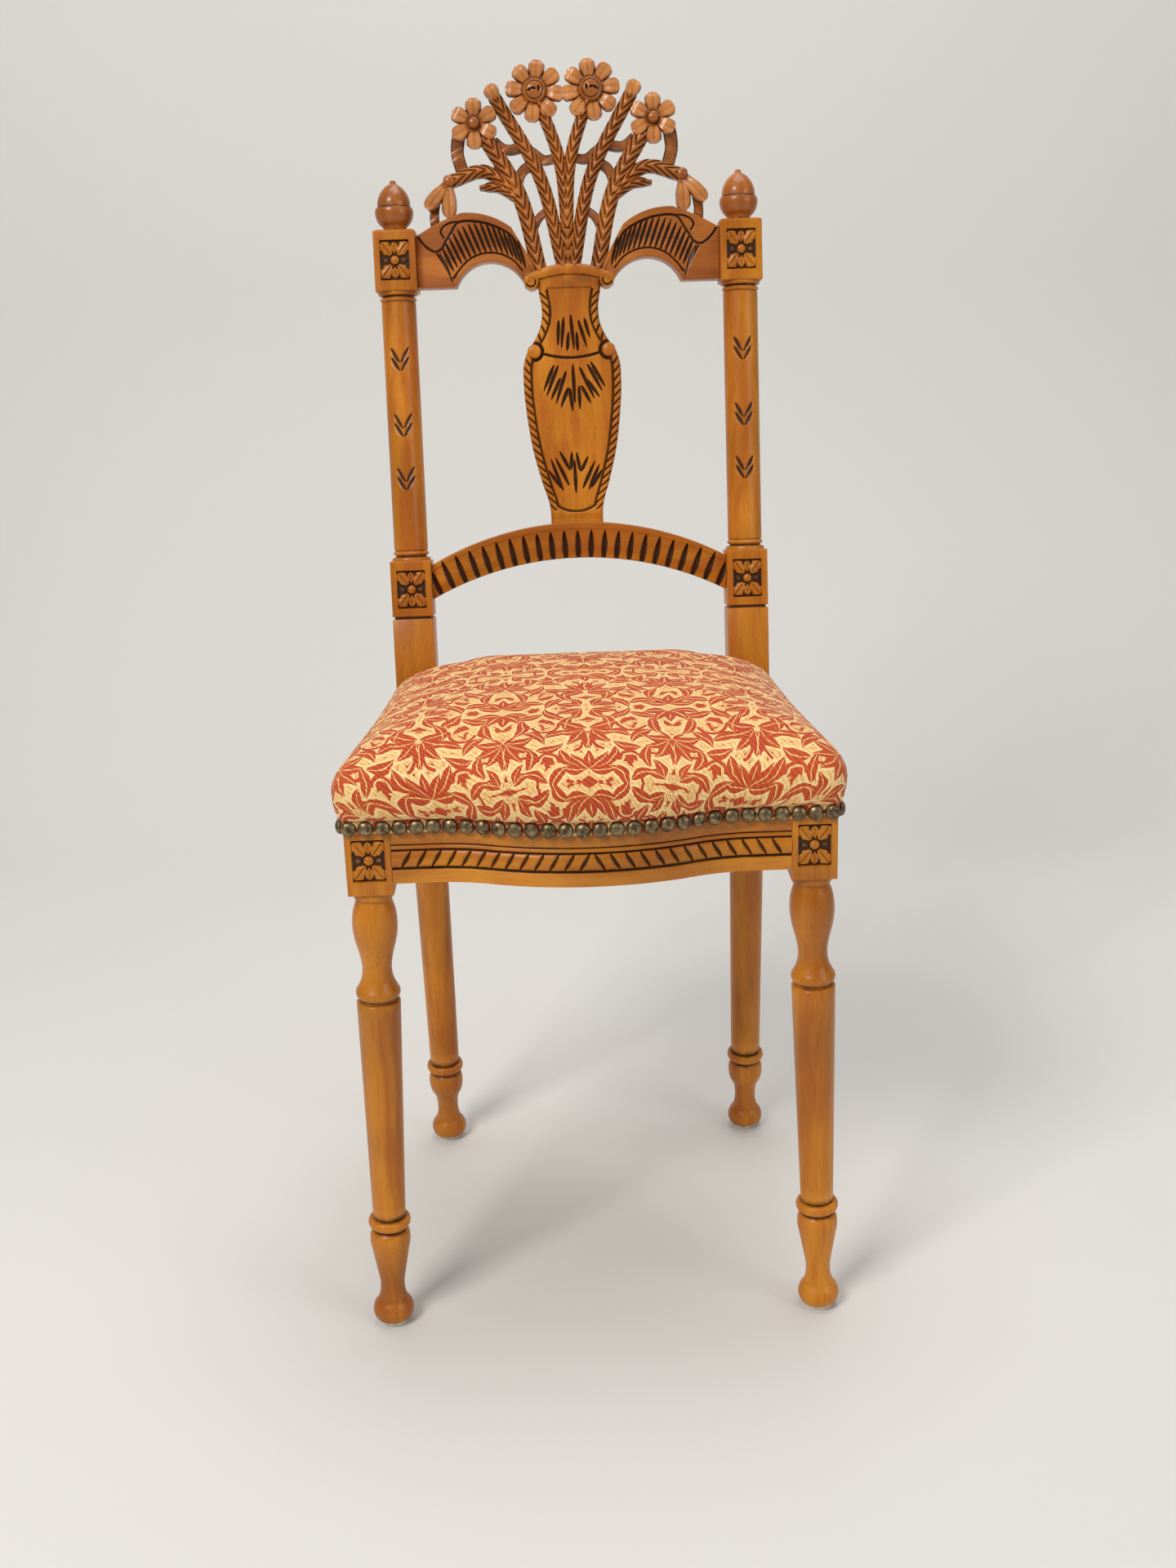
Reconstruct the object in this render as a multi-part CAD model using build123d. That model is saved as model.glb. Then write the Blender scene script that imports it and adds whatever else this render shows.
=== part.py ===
"""Side chair with a carved openwork back and a nailed, stuffed-over seat.

Millimetres. +X is to the right of someone facing the chair's front, +Y runs to the back, +Z is up.
The origin is on the floor, below the middle of the chair's overall width and depth.
"""
import os
from math import atan, cos, degrees, pi, radians, sin, tan

from build123d import *

# Plan of the seat frame
front_leg_spacing = 337.0    # between the centres of the front blocks
back_post_spacing = 298.0    # between the centres of the back posts
seat_depth = 269.0           # front block centre to back post centre, at the bend of the post
front_leg_y = -146.4         # puts the origin below the middle of the overall depth

# Lean of the legs and the back, in degrees
front_splay = 1.35
rear_leg_lean = 4.7
back_rake = 8.05

# Seat frame
seat_frame_top = 447.0
rail_height = 53.0
front_rail_thickness = 24.0
side_rail_thickness = 22.0
rear_rail_thickness = 20.0
serpentine_bulge = 22.0      # how far the middle of the front rail stands forward
serpentine_flat = 31.0       # straight stretch at each end of the front rail
hollow_share = 0.36          # share of the ogee's two radii that the hollow curve takes
fascia_height = 21.5         # plain band at the top of the front rail
quirk = 1.2                  # width of a fine groove
quirk_depth = 1.5
bead_height = 2.6
torus_height = 14.0          # half-round moulding of the front rail
torus_proud = 1.0
cove_depth = 3.0

# Mortise and tenon joints
tenon_thickness = 9.0
tenon_length = 15.0
tenon_root = 6.0
tenon_shoulder = 9.0         # height of rail left above and below a tenon
tenon_setback = 7.0          # tenon cheek to the outer face of the leg
joint_gap = 0.1              # glue line at a tenon's cheeks
end_gap = 1.0                # room at the bottom of a mortise

# Front legs
front_block_width = 35.0
front_block_height = 62.0
front_bulb_diameter = 35.0
front_neck_diameter = 23.0
front_cup_height = 300.0     # middle of the cup ring above the floor
front_cup_diameter = 34.5
front_shaft_bottom_diameter = 26.5
front_ring_height = 95.0
front_ring_diameter = 31.0

# Turning
turned_facets = 20           # flats round a turned piece
curve_steps = 2              # straight stretches between two points of a turned curve

# Turned feet
foot_diameter = 31.0
foot_neck_diameter = 20.5
vase_diameter = 31.0         # swelling between the ankle ring and the foot
ring_half_height = 4.0
groove_depth = 1.6

# Back posts
post_width = 36.0
bend_height = 470.0          # where the post turns from the leg's lean to the rake of the back
rear_leg_top_diameter = 33.0
rear_leg_bottom_diameter = 28.0
rear_ring_height = 82.0
rear_ring_diameter = 34.0
square_below_frame = 12.0    # square of the post continued below the seat rails
shaft_diameter = 30.0
low_block_rise = 69.0        # bend to the underside of the lower block, along the post
low_block_height = 50.0
top_block_height = 51.0
collar_height = 6.0
block_groove = 2.0

# Sunk panels with a boss on the faces of the blocks
panel_width = 25.5
panel_height = 34.0
panel_depth = 3.0
boss_diameter = 8.0
boss_facets = 8
dome_tiers = ((1.0, 0.0), (0.85, 0.55), (0.4, 1.0))

# Acorn finials
acorn_diameter = 33.0
acorn_height = 43.0
acorn_neck_diameter = 20.0
nut_diameter = 28.5
acorn_tip_diameter = 7.0
finial_dowel_diameter = 10.0
finial_dowel_length = 11.0

# Foot glides
glide_height = 5.0
glide_diameter = 24.0
glide_pin_diameter = 4.0
glide_pin_facets = 6
glide_pin_length = 14.0
foot_neck_height = 40.0
foot_bulb_height = 17.0
foot_sole_inset = 2.5

# Arched back rail
arch_thickness = 20.0
arch_end_rise = 45.5         # top of the rail's end above the underside of the lower block
arch_end_depth = 30.5
arch_bow = 33.5              # middle of the rail above its ends
arch_depth = 31.5
arch_tenon_height = 20.0

# Vase splat
splat_thickness = 18.0
vase_height = 221.5          # arched rail to the top of the rim
vase_width = 85.6
vase_foot_width = 44.0
vase_foot_rise = 13.0
vase_widest_rise = 124.0
vase_shoulder_rise = 148.0
vase_shoulder_width = 77.0
vase_neck_rise = 180.0
vase_neck_width = 49.2
vase_lip_rise = 197.0        # where the neck meets the underside of the rim
vase_lip_width = 53.0
rim_width = 77.0
rim_depth = 10.0
rim_bow = 9.8                # middle of the rim above its ends
rim_proud = 3.0
scroll_diameter = 12.0
vase_border = 5.5
field_depth = 1.5
splat_tenon_width = 28.0
splat_tenon_length = 12.0

# Crest wings
wing_thickness = 20.0
block_below_rim = 19.4       # underside of the upper block below the rim's middle
wing_step = 2.4              # underside of the wing above the underside of the block
wing_end_depth = 43.0
wing_peak_rise = 44.5        # top of the wing above the rim's middle
wing_peak_inset = 40.0       # the same point, from the post
wing_flat = 33.0             # straight stretch of the underside next to the post
wing_arch_rise = 3.5         # top of the arch under the wing, above the rim's middle
wing_band = 9.0              # plain band round the sunk panel
wing_panel_depth = 2.5
wing_tenon_height = 22.0

# Bouquet: places are (distance from the middle, rise above the rim's middle)
stem_front = 12.0            # front of a stem's ridge before the middle plane of the back
stem_back = 1.0              # flat back of a stem before the same plane
stem_shoulder = 7.0
outer_stem = ((25.0, -6.0), (41.5, 61.0), (67.0, 105.5))
middle_stem = ((4.5, -3.0), (22.0, 72.5), (58.4, 139.0))
inner_stem = ((0.0, 30.0), (4.6, 85.0), (23.9, 142.0))
bell_branch = ((41.0, 58.0), (70.0, 78.5), (98.0, 71.3))
leaf_stub = ((43.0, 56.0), (59.0, 65.0), (74.0, 65.0))
outer_stem_width = 13.5
middle_stem_width = 11.5
inner_stem_width = 10.5
branch_width = 11.0
leaf_width = 8.0
stem_clearance = 0.3
strip_steps = 6              # straight stretches along a curved stem or ribbon
large_flower = (23.9, 142.0)
large_flower_radius = 26.0
large_petals = 8
large_petal_width = 15.0
large_hub_radius = 10.0
small_flower = (76.5, 117.3)
small_flower_radius = 21.5
small_petals = 6
small_petal_width = 15.0
small_hub_radius = 4.5
petal_front = 12.0
petal_back = 3.0
petal_taper = 9.0
hub_proud = 4.0
hub_facets = 8
bud_length = 15.0
bud_width = 10.0
bell_centre = (100.0, 71.0)
bell_knot_radius = 5.0
bell_petal_length = 30.0
bell_petal_width = 13.0
bell_turns = (-48.0, -88.0)  # directions of a bell's two petals, in degrees
ribbon_width = 7.0
ribbon_front = 5.0
ribbon_back = 3.0
ribbon_loops = (
    ((90.0, 110.0), (92.0, 95.0), (88.0, 78.0)),
    ((60.0, 103.0), (50.0, 96.0), (35.0, 98.0)),
    ((30.0, 95.0), (17.5, 86.5), (7.0, 88.0)),
    ((27.0, 84.0), (36.5, 78.0), (42.0, 64.0)),
    ((13.5, 46.0), (23.0, 40.0), (31.0, 26.0)),
    ((112.0, 58.0), (114.0, 46.0), (113.5, 32.0)),
)
bouquet_tenon_width = 12.0
bouquet_tenon_length = 12.0

# Corner blocks and their screws
corner_reach = 75.0
corner_drop = 4.0            # corner block top below the top of the rails
corner_height = 38.0
screw_diameter = 4.0
screw_facets = 6
screw_head_diameter = 8.0
screw_head_height = 2.5
screw_seat = 9.0             # wood between the screw's head and the rail
screw_bite = 13.0            # length of screw in the rail

# Seat build-up
strap_width = 48.0
strap_thickness = 1.6
strap_pitch = 72.0
strap_count = 3
strap_margin = 7.0           # strap end to the outer edge of the rail
strap_ramp = 9.0
hessian_thickness = 1.0
hessian_margin = 4.0
layer_gap = 0.1
cover_thickness = 1.6
nail_line = 440.0            # height of the nails' centres
cover_hem = 4.5              # cover below the nail line
seat_crown = 520.0           # top of the cushion
crown_back = 20.0            # crown behind the middle of the seat
cushion_bulge = 12.5         # cushion beyond the frame at the front corners
rear_bulge = 3.0             # cushion beyond the back posts
side_hollow = 4.0            # sides drawn in between the corners
corner_round = 22.0
cushion_wall = 18.0          # upright wall of the cushion above the seat frame
under_round = 7.0
plan_steps = 6               # straight stretches along each curve of the cushion's plan
# Share of the plan, and share of the rise from the wall to the crown, of each tier of the top
cushion_tiers = (
    (1.0, 0.0), (0.985, 0.22), (0.95, 0.38), (0.88, 0.56), (0.75, 0.75), (0.55, 0.9), (0.3, 0.98), (0.1, 1.0),
)
post_clearance = 0.3

# Upholstery nails
nail_diameter = 12.0
nail_height = 4.4
nail_pitch = 12.7
nail_facets = 6
nail_tiers = ((1.0, 0.0), (0.5, 1.0))
nail_seat = 0.2

# Places that follow from the sizes above
front_leg_x = front_leg_spacing / 2
post_x = back_post_spacing / 2
bend_y = front_leg_y + seat_depth
back_place = Location((0, bend_y, bend_height), (-back_rake, 0, 0))
rail_bottom = seat_frame_top - rail_height
front_block_bottom = seat_frame_top - front_block_height
front_face_y = front_leg_y - front_block_width / 2
low_block_top = low_block_rise + low_block_height
arch_end_top = low_block_rise + arch_end_rise
arch_top = arch_end_top + arch_bow
rim_top = arch_top + vase_height
top_block_rise = rim_top - block_below_rim
top_block_top = top_block_rise + top_block_height
post_face_x = post_x - post_width / 2
SIDES = (("left", -1), ("right", 1))

parts = {}


def span(low, high):
    """Box between two opposite corners, given in any order."""
    size = [abs(b - a) for a, b in zip(low, high)]
    middle = [(a + b) / 2 for a, b in zip(low, high)]
    return Pos(*middle) * Box(*size)


def run_edge(run):
    """Edge along a run of points: two points are a line, three an arc, more a smooth curve."""
    if len(run) == 2:
        return Line(*run)
    if len(run) == 3:
        return ThreePointArc(*run)
    return Spline(*run)


def closed_face(*runs):
    """Face inside runs of points that follow each other."""
    return make_face([run_edge(run) for run in runs])


def polygon(*points):
    """Flat face with straight edges."""
    return make_face(Polyline(*points, close=True).edges())


def level_ring(radius, height, facets):
    """Corners of a level regular polygon about Z."""
    turns = [2 * pi * index / facets for index in range(facets)]
    return [(radius * cos(turn), radius * sin(turn), height) for turn in turns]


def skin(rings):
    """Solid with flat faces between rings of points that follow each other, and over both end rings."""
    faces = [Face(Wire.make_polygon(ring)) for ring in (rings[0], rings[-1])]
    for ring, following in zip(rings[:-1], rings[1:]):
        for index in range(len(ring)):
            corners = (ring[index - 1], ring[index], following[index], following[index - 1])
            faces.append(Face(Wire.make_polygon(corners)))
    return Solid(Shell(faces))


def dome(radius, height, facets, tiers=dome_tiers):
    """Low dome cut in flats, with its back on the plane Z = 0."""
    return skin([level_ring(radius * share, height * rise, facets) for share, rise in tiers])


def forward(solid):
    """Turns a solid that stands on the plane Z = 0 to stand on a front face."""
    return Rot(90, 0, 0) * solid


def lathe(*runs):
    """Solid turned about Z, in narrow flats, from runs of (radius, height) points."""
    profile = [runs[0][0]]
    for run in runs:
        edge = run_edge(run)
        steps = 1 if len(run) == 2 else curve_steps * (len(run) - 1)
        points = [edge @ (step / steps) for step in range(1, steps + 1)]
        profile += [(point.X, point.Y) for point in points]
    return skin([level_ring(radius, height, turned_facets) for radius, height in profile])


def floor_cut(solid, height):
    """Cuts a leaning foot off level at a height."""
    reach = 4 * foot_diameter
    box = solid.bounding_box()
    centre = box.center()
    low = (centre.X - reach - seat_depth, centre.Y - reach - seat_depth, height - reach)
    high = (centre.X + reach + seat_depth, centre.Y + reach + seat_depth, height)
    return solid - span(low, high)


def foot_runs(ring_height, ring_diameter, ankle_diameter, station):
    """Ankle ring, vase and foot, from the ring down. station turns a height into a place on the axis."""
    ring_top = ring_height + ring_half_height
    ring_low = ring_height - ring_half_height
    groove_radius = ankle_diameter / 2 - groove_depth
    groove_low = ring_low - groove_depth
    ring_flat = ring_half_height / 3
    ring_upper = (ring_diameter / 2, station(ring_height + ring_flat))
    ring_lower = (ring_diameter / 2, station(ring_height - ring_flat))
    swell_height = foot_neck_height + 0.62 * (ring_height - foot_neck_height)
    sole_radius = foot_diameter / 2 - foot_sole_inset
    sole_drop = glide_height - ring_half_height
    return (
        ((groove_radius, station(ring_top)), ring_upper),
        (ring_upper, ring_lower),
        (ring_lower, (groove_radius, station(ring_low))),
        ((groove_radius, station(ring_low)), (groove_radius, station(groove_low))),
        ((groove_radius, station(groove_low)),
         (vase_diameter / 2, station(swell_height)),
         (foot_neck_diameter / 2, station(foot_neck_height)),
         (foot_diameter / 2, station(foot_bulb_height)),
         (sole_radius, station(glide_height))),
        ((sole_radius, station(glide_height)), (sole_radius, station(sole_drop))),
    )


def foot_glide(x, y):
    """Nail-on glide: a disc with a pin that goes up into the foot."""
    disc = Pos(x, y, glide_height / 2) * Cylinder(glide_diameter / 2, glide_height)
    pin_end = RegularPolygon(glide_pin_diameter / 2, glide_pin_facets)
    pin = Pos(x, y, glide_height) * extrude(pin_end, amount=glide_pin_length)
    return disc + pin


def glide_hole(x, y):
    """Hole in a foot for the pin of its glide."""
    depth = glide_pin_length + end_gap
    radius = glide_pin_diameter / 2 + joint_gap
    return Pos(x, y, glide_height + depth / 2) * Cylinder(radius, depth)


def panel_cut(x, y, z):
    """Sunk panel in a front face whose middle is at x, y, z."""
    half = (panel_width / 2, panel_height / 2)
    return span((x - half[0], y, z - half[1]), (x + half[0], y + panel_depth, z + half[1]))


def panel_boss(x, y, z):
    """Round boss in the middle of a sunk panel."""
    return Pos(x, y + panel_depth, z) * forward(dome(boss_diameter / 2, panel_depth, boss_facets))


def tenon(axis, shoulder, sign, across):
    """Tenon box that starts inside the rail and runs past the shoulder along X or Y."""
    return joint_box(axis, shoulder - sign * tenon_root, shoulder + sign * tenon_length, across, 0)


def mortise(axis, shoulder, sign, across):
    """Mortise box for the same tenon, with a glue line and room at its end."""
    end = shoulder + sign * (tenon_length + end_gap)
    return joint_box(axis, shoulder - sign * tenon_root, end, across, joint_gap)


def joint_box(axis, start, end, across, gap):
    half = tenon_thickness / 2 + gap
    low_z = rail_bottom + tenon_shoulder - gap
    high_z = seat_frame_top - tenon_shoulder + gap
    if axis == "X":
        return span((start, across - half, low_z), (end, across + half, high_z))
    return span((across - half, start, low_z), (across + half, end, high_z))


def rear_axis_y(height):
    """Back post's axis below the bend, at a height above the floor."""
    return bend_y + (bend_height - height) * tan(radians(rear_leg_lean))


def post_front_y(height):
    """Front face of the post's square below the bend."""
    return rear_axis_y(height) - post_width / 2 / cos(radians(rear_leg_lean))


def post_square():
    """Bent square of the post, from below the seat rails to the top of the lower block."""
    half = post_width / 2
    rake = radians(back_rake)
    lean = radians(rear_leg_lean)
    drop = (bend_height - rail_bottom + square_below_frame) / cos(lean)
    mitre = half / cos((rake + lean) / 2)
    turn = (lean - rake) / 2
    top = (bend_y + low_block_top * sin(rake), bend_height + low_block_top * cos(rake))
    low = (bend_y + drop * sin(lean), bend_height - drop * cos(lean))
    side_view = polygon(
        (top[0] - half * cos(rake), top[1] + half * sin(rake)),
        (top[0] + half * cos(rake), top[1] - half * sin(rake)),
        (bend_y + mitre * cos(turn), bend_height + mitre * sin(turn)),
        (low[0] + half * cos(lean), low[1] + half * sin(lean)),
        (low[0] - half * cos(lean), low[1] - half * sin(lean)),
        (bend_y - mitre * cos(turn), bend_height - mitre * sin(turn)),
    )
    return extrude(Plane.YZ * side_view, amount=half, both=True)


def post_leg():
    """Turned leg of the post, below the square, in the leaning frame whose origin is the bend."""
    def station(height):
        return (height - bend_height) / cos(radians(rear_leg_lean))

    top = rail_bottom - square_below_frame + 1
    ring_top = rear_ring_height + ring_half_height
    ankle = rear_leg_bottom_diameter
    groove_radius = ankle / 2 - groove_depth
    shaft_low = ring_top + groove_depth
    runs = (
        ((rear_leg_top_diameter / 2, station(top)), (ankle / 2, station(shaft_low))),
        ((ankle / 2, station(shaft_low)), (groove_radius, station(ring_top))),
    )
    return lathe(*runs, *foot_runs(rear_ring_height, rear_ring_diameter, ankle, station))


def post_shaft():
    """Turned shaft between the blocks, with a collar at each end, in the frame of the back."""
    radius = shaft_diameter / 2
    wide = post_width / 2 - 1
    low = low_block_top
    high = top_block_rise
    step = collar_height / 3
    neck = radius - groove_depth
    return lathe(
        ((wide, high), (wide, high - step)),
        ((wide, high - step), (neck, high - 2 * step)),
        ((neck, high - 2 * step), (radius, high - 3 * step)),
        ((radius, high - 3 * step), (radius, low + 3 * step)),
        ((radius, low + 3 * step), (neck, low + 2 * step)),
        ((neck, low + 2 * step), (wide, low + step)),
        ((wide, low + step), (wide, low)),
    )


def post_blank(x):
    """Back post without its mortises."""
    leg = Location((x, bend_y, bend_height), (rear_leg_lean, 0, 0)) * post_leg()
    low_mid = low_block_rise + low_block_height / 2
    top_mid = top_block_rise + top_block_height / 2
    face_y = -post_width / 2
    block = Pos(0, 0, top_mid) * Box(post_width, post_width, top_block_height)
    block = chamfer(block.edges().filter_by(GeomType.LINE).group_by(Axis.Z)[-1], block_groove)
    groove_slab = Pos(0, 0, low_block_rise) * Box(2 * post_width, 2 * post_width, block_groove)
    core_width = post_width - 2 * block_groove
    groove = groove_slab - Pos(0, 0, low_block_rise) * Box(core_width, core_width, 2 * block_groove)
    back = Pos(x, bend_y, bend_height) * Rot(-back_rake, 0, 0)
    upper = back * (post_shaft() + block)
    cuts = [back * panel_cut(0, face_y, mid) for mid in (low_mid, top_mid)]
    bosses = [back * panel_boss(0, face_y, mid) for mid in (low_mid, top_mid)]
    blank = Pos(x, 0, 0) * post_square() + upper + floor_cut(leg, glide_height)
    blank = blank - back * groove
    for cut in cuts:
        blank = blank - cut
    for boss in bosses:
        blank = blank + boss
    foot_y = rear_axis_y(glide_height)
    return blank - glide_hole(x, foot_y)


def front_leg_blank(x, side):
    """Front leg without its mortises."""
    block = span(
        (x - front_block_width / 2, front_face_y, front_block_bottom),
        (x + front_block_width / 2, front_face_y + front_block_width, seat_frame_top),
    )
    panel_mid = rail_bottom + panel_height / 2 + block_groove
    block = block - panel_cut(x, front_face_y, panel_mid) + panel_boss(x, front_face_y, panel_mid)

    def station(height):
        return (height - front_block_bottom) / cos(radians(front_splay))

    bulb_top = front_block_bottom - collar_height - groove_depth
    collar_radius = front_block_width / 2 - 2
    neck_radius = collar_radius - groove_depth
    cup_top = front_cup_height + ring_half_height
    cup_low = front_cup_height - ring_half_height
    bulb_height = bulb_top - 0.3 * (bulb_top - cup_top)
    neck_height = cup_top + 0.2 * (bulb_top - cup_top)
    cup_radius = front_cup_diameter / 2
    ankle = front_shaft_bottom_diameter
    ring_top = front_ring_height + ring_half_height
    shaft_low = ring_top + groove_depth
    shaft_top = cup_low - 2 * groove_depth
    runs = (
        ((collar_radius, station(front_block_bottom + 1)), (collar_radius, station(bulb_top + groove_depth))),
        ((collar_radius, station(bulb_top + groove_depth)), (neck_radius, station(bulb_top))),
        ((neck_radius, station(bulb_top)),
         (front_bulb_diameter / 2, station(bulb_height)),
         (front_neck_diameter / 2, station(neck_height)),
         (cup_radius, station(front_cup_height))),
        ((cup_radius, station(front_cup_height)), (cup_radius - groove_depth, station(cup_low))),
        ((cup_radius - groove_depth, station(cup_low)), (cup_radius - groove_depth, station(shaft_top))),
        ((cup_radius - groove_depth, station(shaft_top)), (cup_radius, station(shaft_top - groove_depth))),
        ((cup_radius, station(shaft_top - groove_depth)), (ankle / 2, station(shaft_low))),
        ((ankle / 2, station(shaft_low)), (ankle / 2 - groove_depth, station(ring_top))),
    )
    leg = lathe(*runs, *foot_runs(front_ring_height, front_ring_diameter, ankle, station))
    leg = Location((x, front_leg_y, front_block_bottom), (0, -side * front_splay, 0)) * leg
    return block + floor_cut(leg, glide_height) - glide_hole(front_foot_x(side), front_leg_y)


def front_foot_x(side):
    """Where the axis of a front leg meets its glide."""
    drop = front_block_bottom - glide_height
    return side * (front_leg_x + drop * tan(radians(front_splay)))


def serpentine(grow):
    """Front edge of the seat frame in plan, moved forward by grow: flat, hollow, bow, hollow, flat.

    Returns the half length of the bowed stretch, the angle of the ogee and the two radii.
    """
    reach = front_leg_x - front_block_width / 2 - serpentine_flat
    angle = 2 * degrees(atan(serpentine_bulge / reach))
    both = reach / sin(radians(angle))
    return reach, angle, both * hollow_share - grow, both * (1 - hollow_share) + grow


def front_edge(end_x, grow):
    """Edges of the serpentine front from -end_x to end_x."""
    reach, angle, hollow, bow = serpentine(grow)
    y = front_face_y - grow
    first = Line((-end_x, y), (-reach, y))
    dip_in = JernArc(first @ 1, (1, 0), hollow, -angle)
    middle = JernArc(dip_in @ 1, dip_in % 1, bow, 2 * angle)
    dip_out = JernArc(middle @ 1, middle % 1, hollow, -angle)
    last = Line(dip_out @ 1, (end_x, y))
    return [first, dip_in, middle, dip_out, last]


def front_edge_y(x):
    """Front face of the seat frame at a distance from the middle."""
    reach, angle, hollow, bow = serpentine(0)
    turn = bow * sin(radians(angle))
    x = abs(x)
    apex = front_face_y - serpentine_bulge
    if x < turn:
        return apex + bow - (bow ** 2 - x ** 2) ** 0.5
    if x < reach:
        return front_face_y - hollow + (hollow ** 2 - (reach - x) ** 2) ** 0.5
    return front_face_y


def front_rail():
    """Serpentine rail: its moulded section swept along the front edge, with a tenon at each end."""
    end_x = front_leg_x - front_block_width / 2
    quirk_top = seat_frame_top - fascia_height
    bead_top = quirk_top - quirk
    bead_low = bead_top - bead_height
    torus_top = bead_low - quirk
    torus_low = torus_top - torus_height
    torus_upper = (-torus_proud, torus_top - torus_height / 3)
    torus_lower = (-torus_proud, torus_low + torus_height / 3)
    sill_top = torus_low - quirk
    back = front_rail_thickness
    section = closed_face(
        ((back, seat_frame_top), (0, seat_frame_top)),
        ((0, seat_frame_top), (0, quirk_top)),
        ((0, quirk_top), (quirk_depth, quirk_top - quirk / 2)),
        ((quirk_depth, quirk_top - quirk / 2), (quirk_depth / 2, bead_top)),
        ((quirk_depth / 2, bead_top), (quirk_depth / 2, bead_low)),
        ((quirk_depth / 2, bead_low), (cove_depth, torus_top)),
        ((cove_depth, torus_top), torus_upper),
        (torus_upper, torus_lower),
        (torus_lower, (cove_depth, torus_low)),
        ((cove_depth, torus_low), (0, sill_top)),
        ((0, sill_top), (0, rail_bottom)),
        ((0, rail_bottom), (back, rail_bottom)),
        ((back, rail_bottom), (back, seat_frame_top)),
    )
    path = Wire(front_edge(end_x, 0))
    start = Plane((-end_x, front_face_y, 0), x_dir=(0, 1, 0), z_dir=(1, 0, 0))
    rail = sweep(start * section, path)
    for _, side in SIDES:
        rail = rail + tenon("X", side * end_x, side, front_tenon_y)
    return rail


def side_outer_x(y):
    """Outer face of a side rail: a straight line from the front block to the back post."""
    y0 = front_leg_y + front_block_width / 2
    y1 = post_front_y(seat_frame_top)
    x0 = front_leg_x + front_block_width / 2
    x1 = post_x + post_width / 2
    return x0 + (x1 - x0) * min(1, (y - y0) / (y1 - y0))


def side_rail(side, post):
    """Side rail: tapered in plan from leg to post, scribed to the leaning post, with two tenons."""
    y0 = front_leg_y + front_block_width / 2
    y1 = post_front_y(seat_frame_top)
    y2 = bend_y
    outer = [(side_outer_x(y), y) for y in (y0, y1, y2)]
    inner = [(x - side_rail_thickness, y) for x, y in reversed(outer)]
    plan = polygon(*[(side * x, y) for x, y in outer + inner])
    rail = extrude(Pos(0, 0, rail_bottom) * plan, amount=rail_height, dir=(0, 0, 1))
    rail = rail - post
    rail = rail + tenon("Y", y0, -1, side * leg_tenon_x)
    rear_tenon = tenon("Y", post_front_y(rail_bottom), 1, side * post_tenon_x)
    return rail + rear_tenon


def rear_rail():
    """Straight rail between the posts."""
    end_x = post_x - post_width / 2
    half = rear_rail_thickness / 2
    rail = span((-end_x, rear_rail_y - half, rail_bottom), (end_x, rear_rail_y + half, seat_frame_top))
    for _, side in SIDES:
        rail = rail + tenon("X", side * end_x, side, rear_rail_y)
    return rail


def corner_blank(x, y, side, toward):
    """Triangular block in a corner of the frame, before it is scribed to rails and leg."""
    plan = polygon((x, y), (x - side * corner_reach, y), (x, y + toward * corner_reach))
    top = seat_frame_top - corner_drop
    return extrude(Pos(0, 0, top - corner_height) * plan, amount=corner_height, dir=(0, 0, 1))


def screw(point, direction, gap):
    """Screw with its head seated inside the block; gap is added all round for its hole."""
    plane = Plane(point, z_dir=direction)
    shank_length = screw_seat + screw_bite + gap
    head_length = screw_head_height if gap == 0 else corner_reach / 2
    shank_end = RegularPolygon(screw_diameter / 2 + gap, screw_facets)
    head_end = RegularPolygon(screw_head_diameter / 2 + gap, screw_facets)
    shank = Pos(0, 0, -screw_seat) * extrude(shank_end, amount=shank_length)
    head = Pos(0, 0, -screw_seat - head_length) * extrude(head_end, amount=head_length)
    return plane * (shank + head)


def screw_places():
    """Point on the rail's inner face and direction into the rail, for each corner's two screws."""
    height = seat_frame_top - corner_drop - corner_height / 2
    along = corner_reach * 2 / 3
    rear_face = rear_rail_y - rear_rail_thickness / 2
    places = {}
    for name, side in SIDES:
        front_y = front_edge_y(front_leg_x - along) + front_rail_thickness
        side_y = front_leg_y + along
        side_x = side_outer_x(side_y) - side_rail_thickness
        places["front_" + name] = (
            ((side * (front_leg_x - along), front_y, height), (0, -1, 0)),
            ((side * side_x, side_y, height), (side, 0, 0)),
        )
        side_y = rear_rail_y - along
        side_x = side_outer_x(side_y) - side_rail_thickness
        places["rear_" + name] = (
            ((side * (post_x - along), rear_face, height), (0, 1, 0)),
            ((side * side_x, side_y, height), (side, 0, 0)),
        )
    return places


def strap(start, end, crossings, first_high):
    """Woven strap in side view, from start to end, rising over every second crossing strap."""
    high = seat_frame_top + strap_thickness + layer_gap
    low = seat_frame_top
    half = strap_width / 2
    line = [(start, low)]
    for index, middle in enumerate(crossings):
        if (index % 2 == 0) == first_high:
            line.append((middle - half - strap_ramp, low))
            line.append((middle - half - layer_gap, high))
            line.append((middle + half + layer_gap, high))
            line.append((middle + half + strap_ramp, low))
    line.append((end, low))
    upper = [(along, level + strap_thickness) for along, level in reversed(line)]
    return polygon(*line, *upper)


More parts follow.
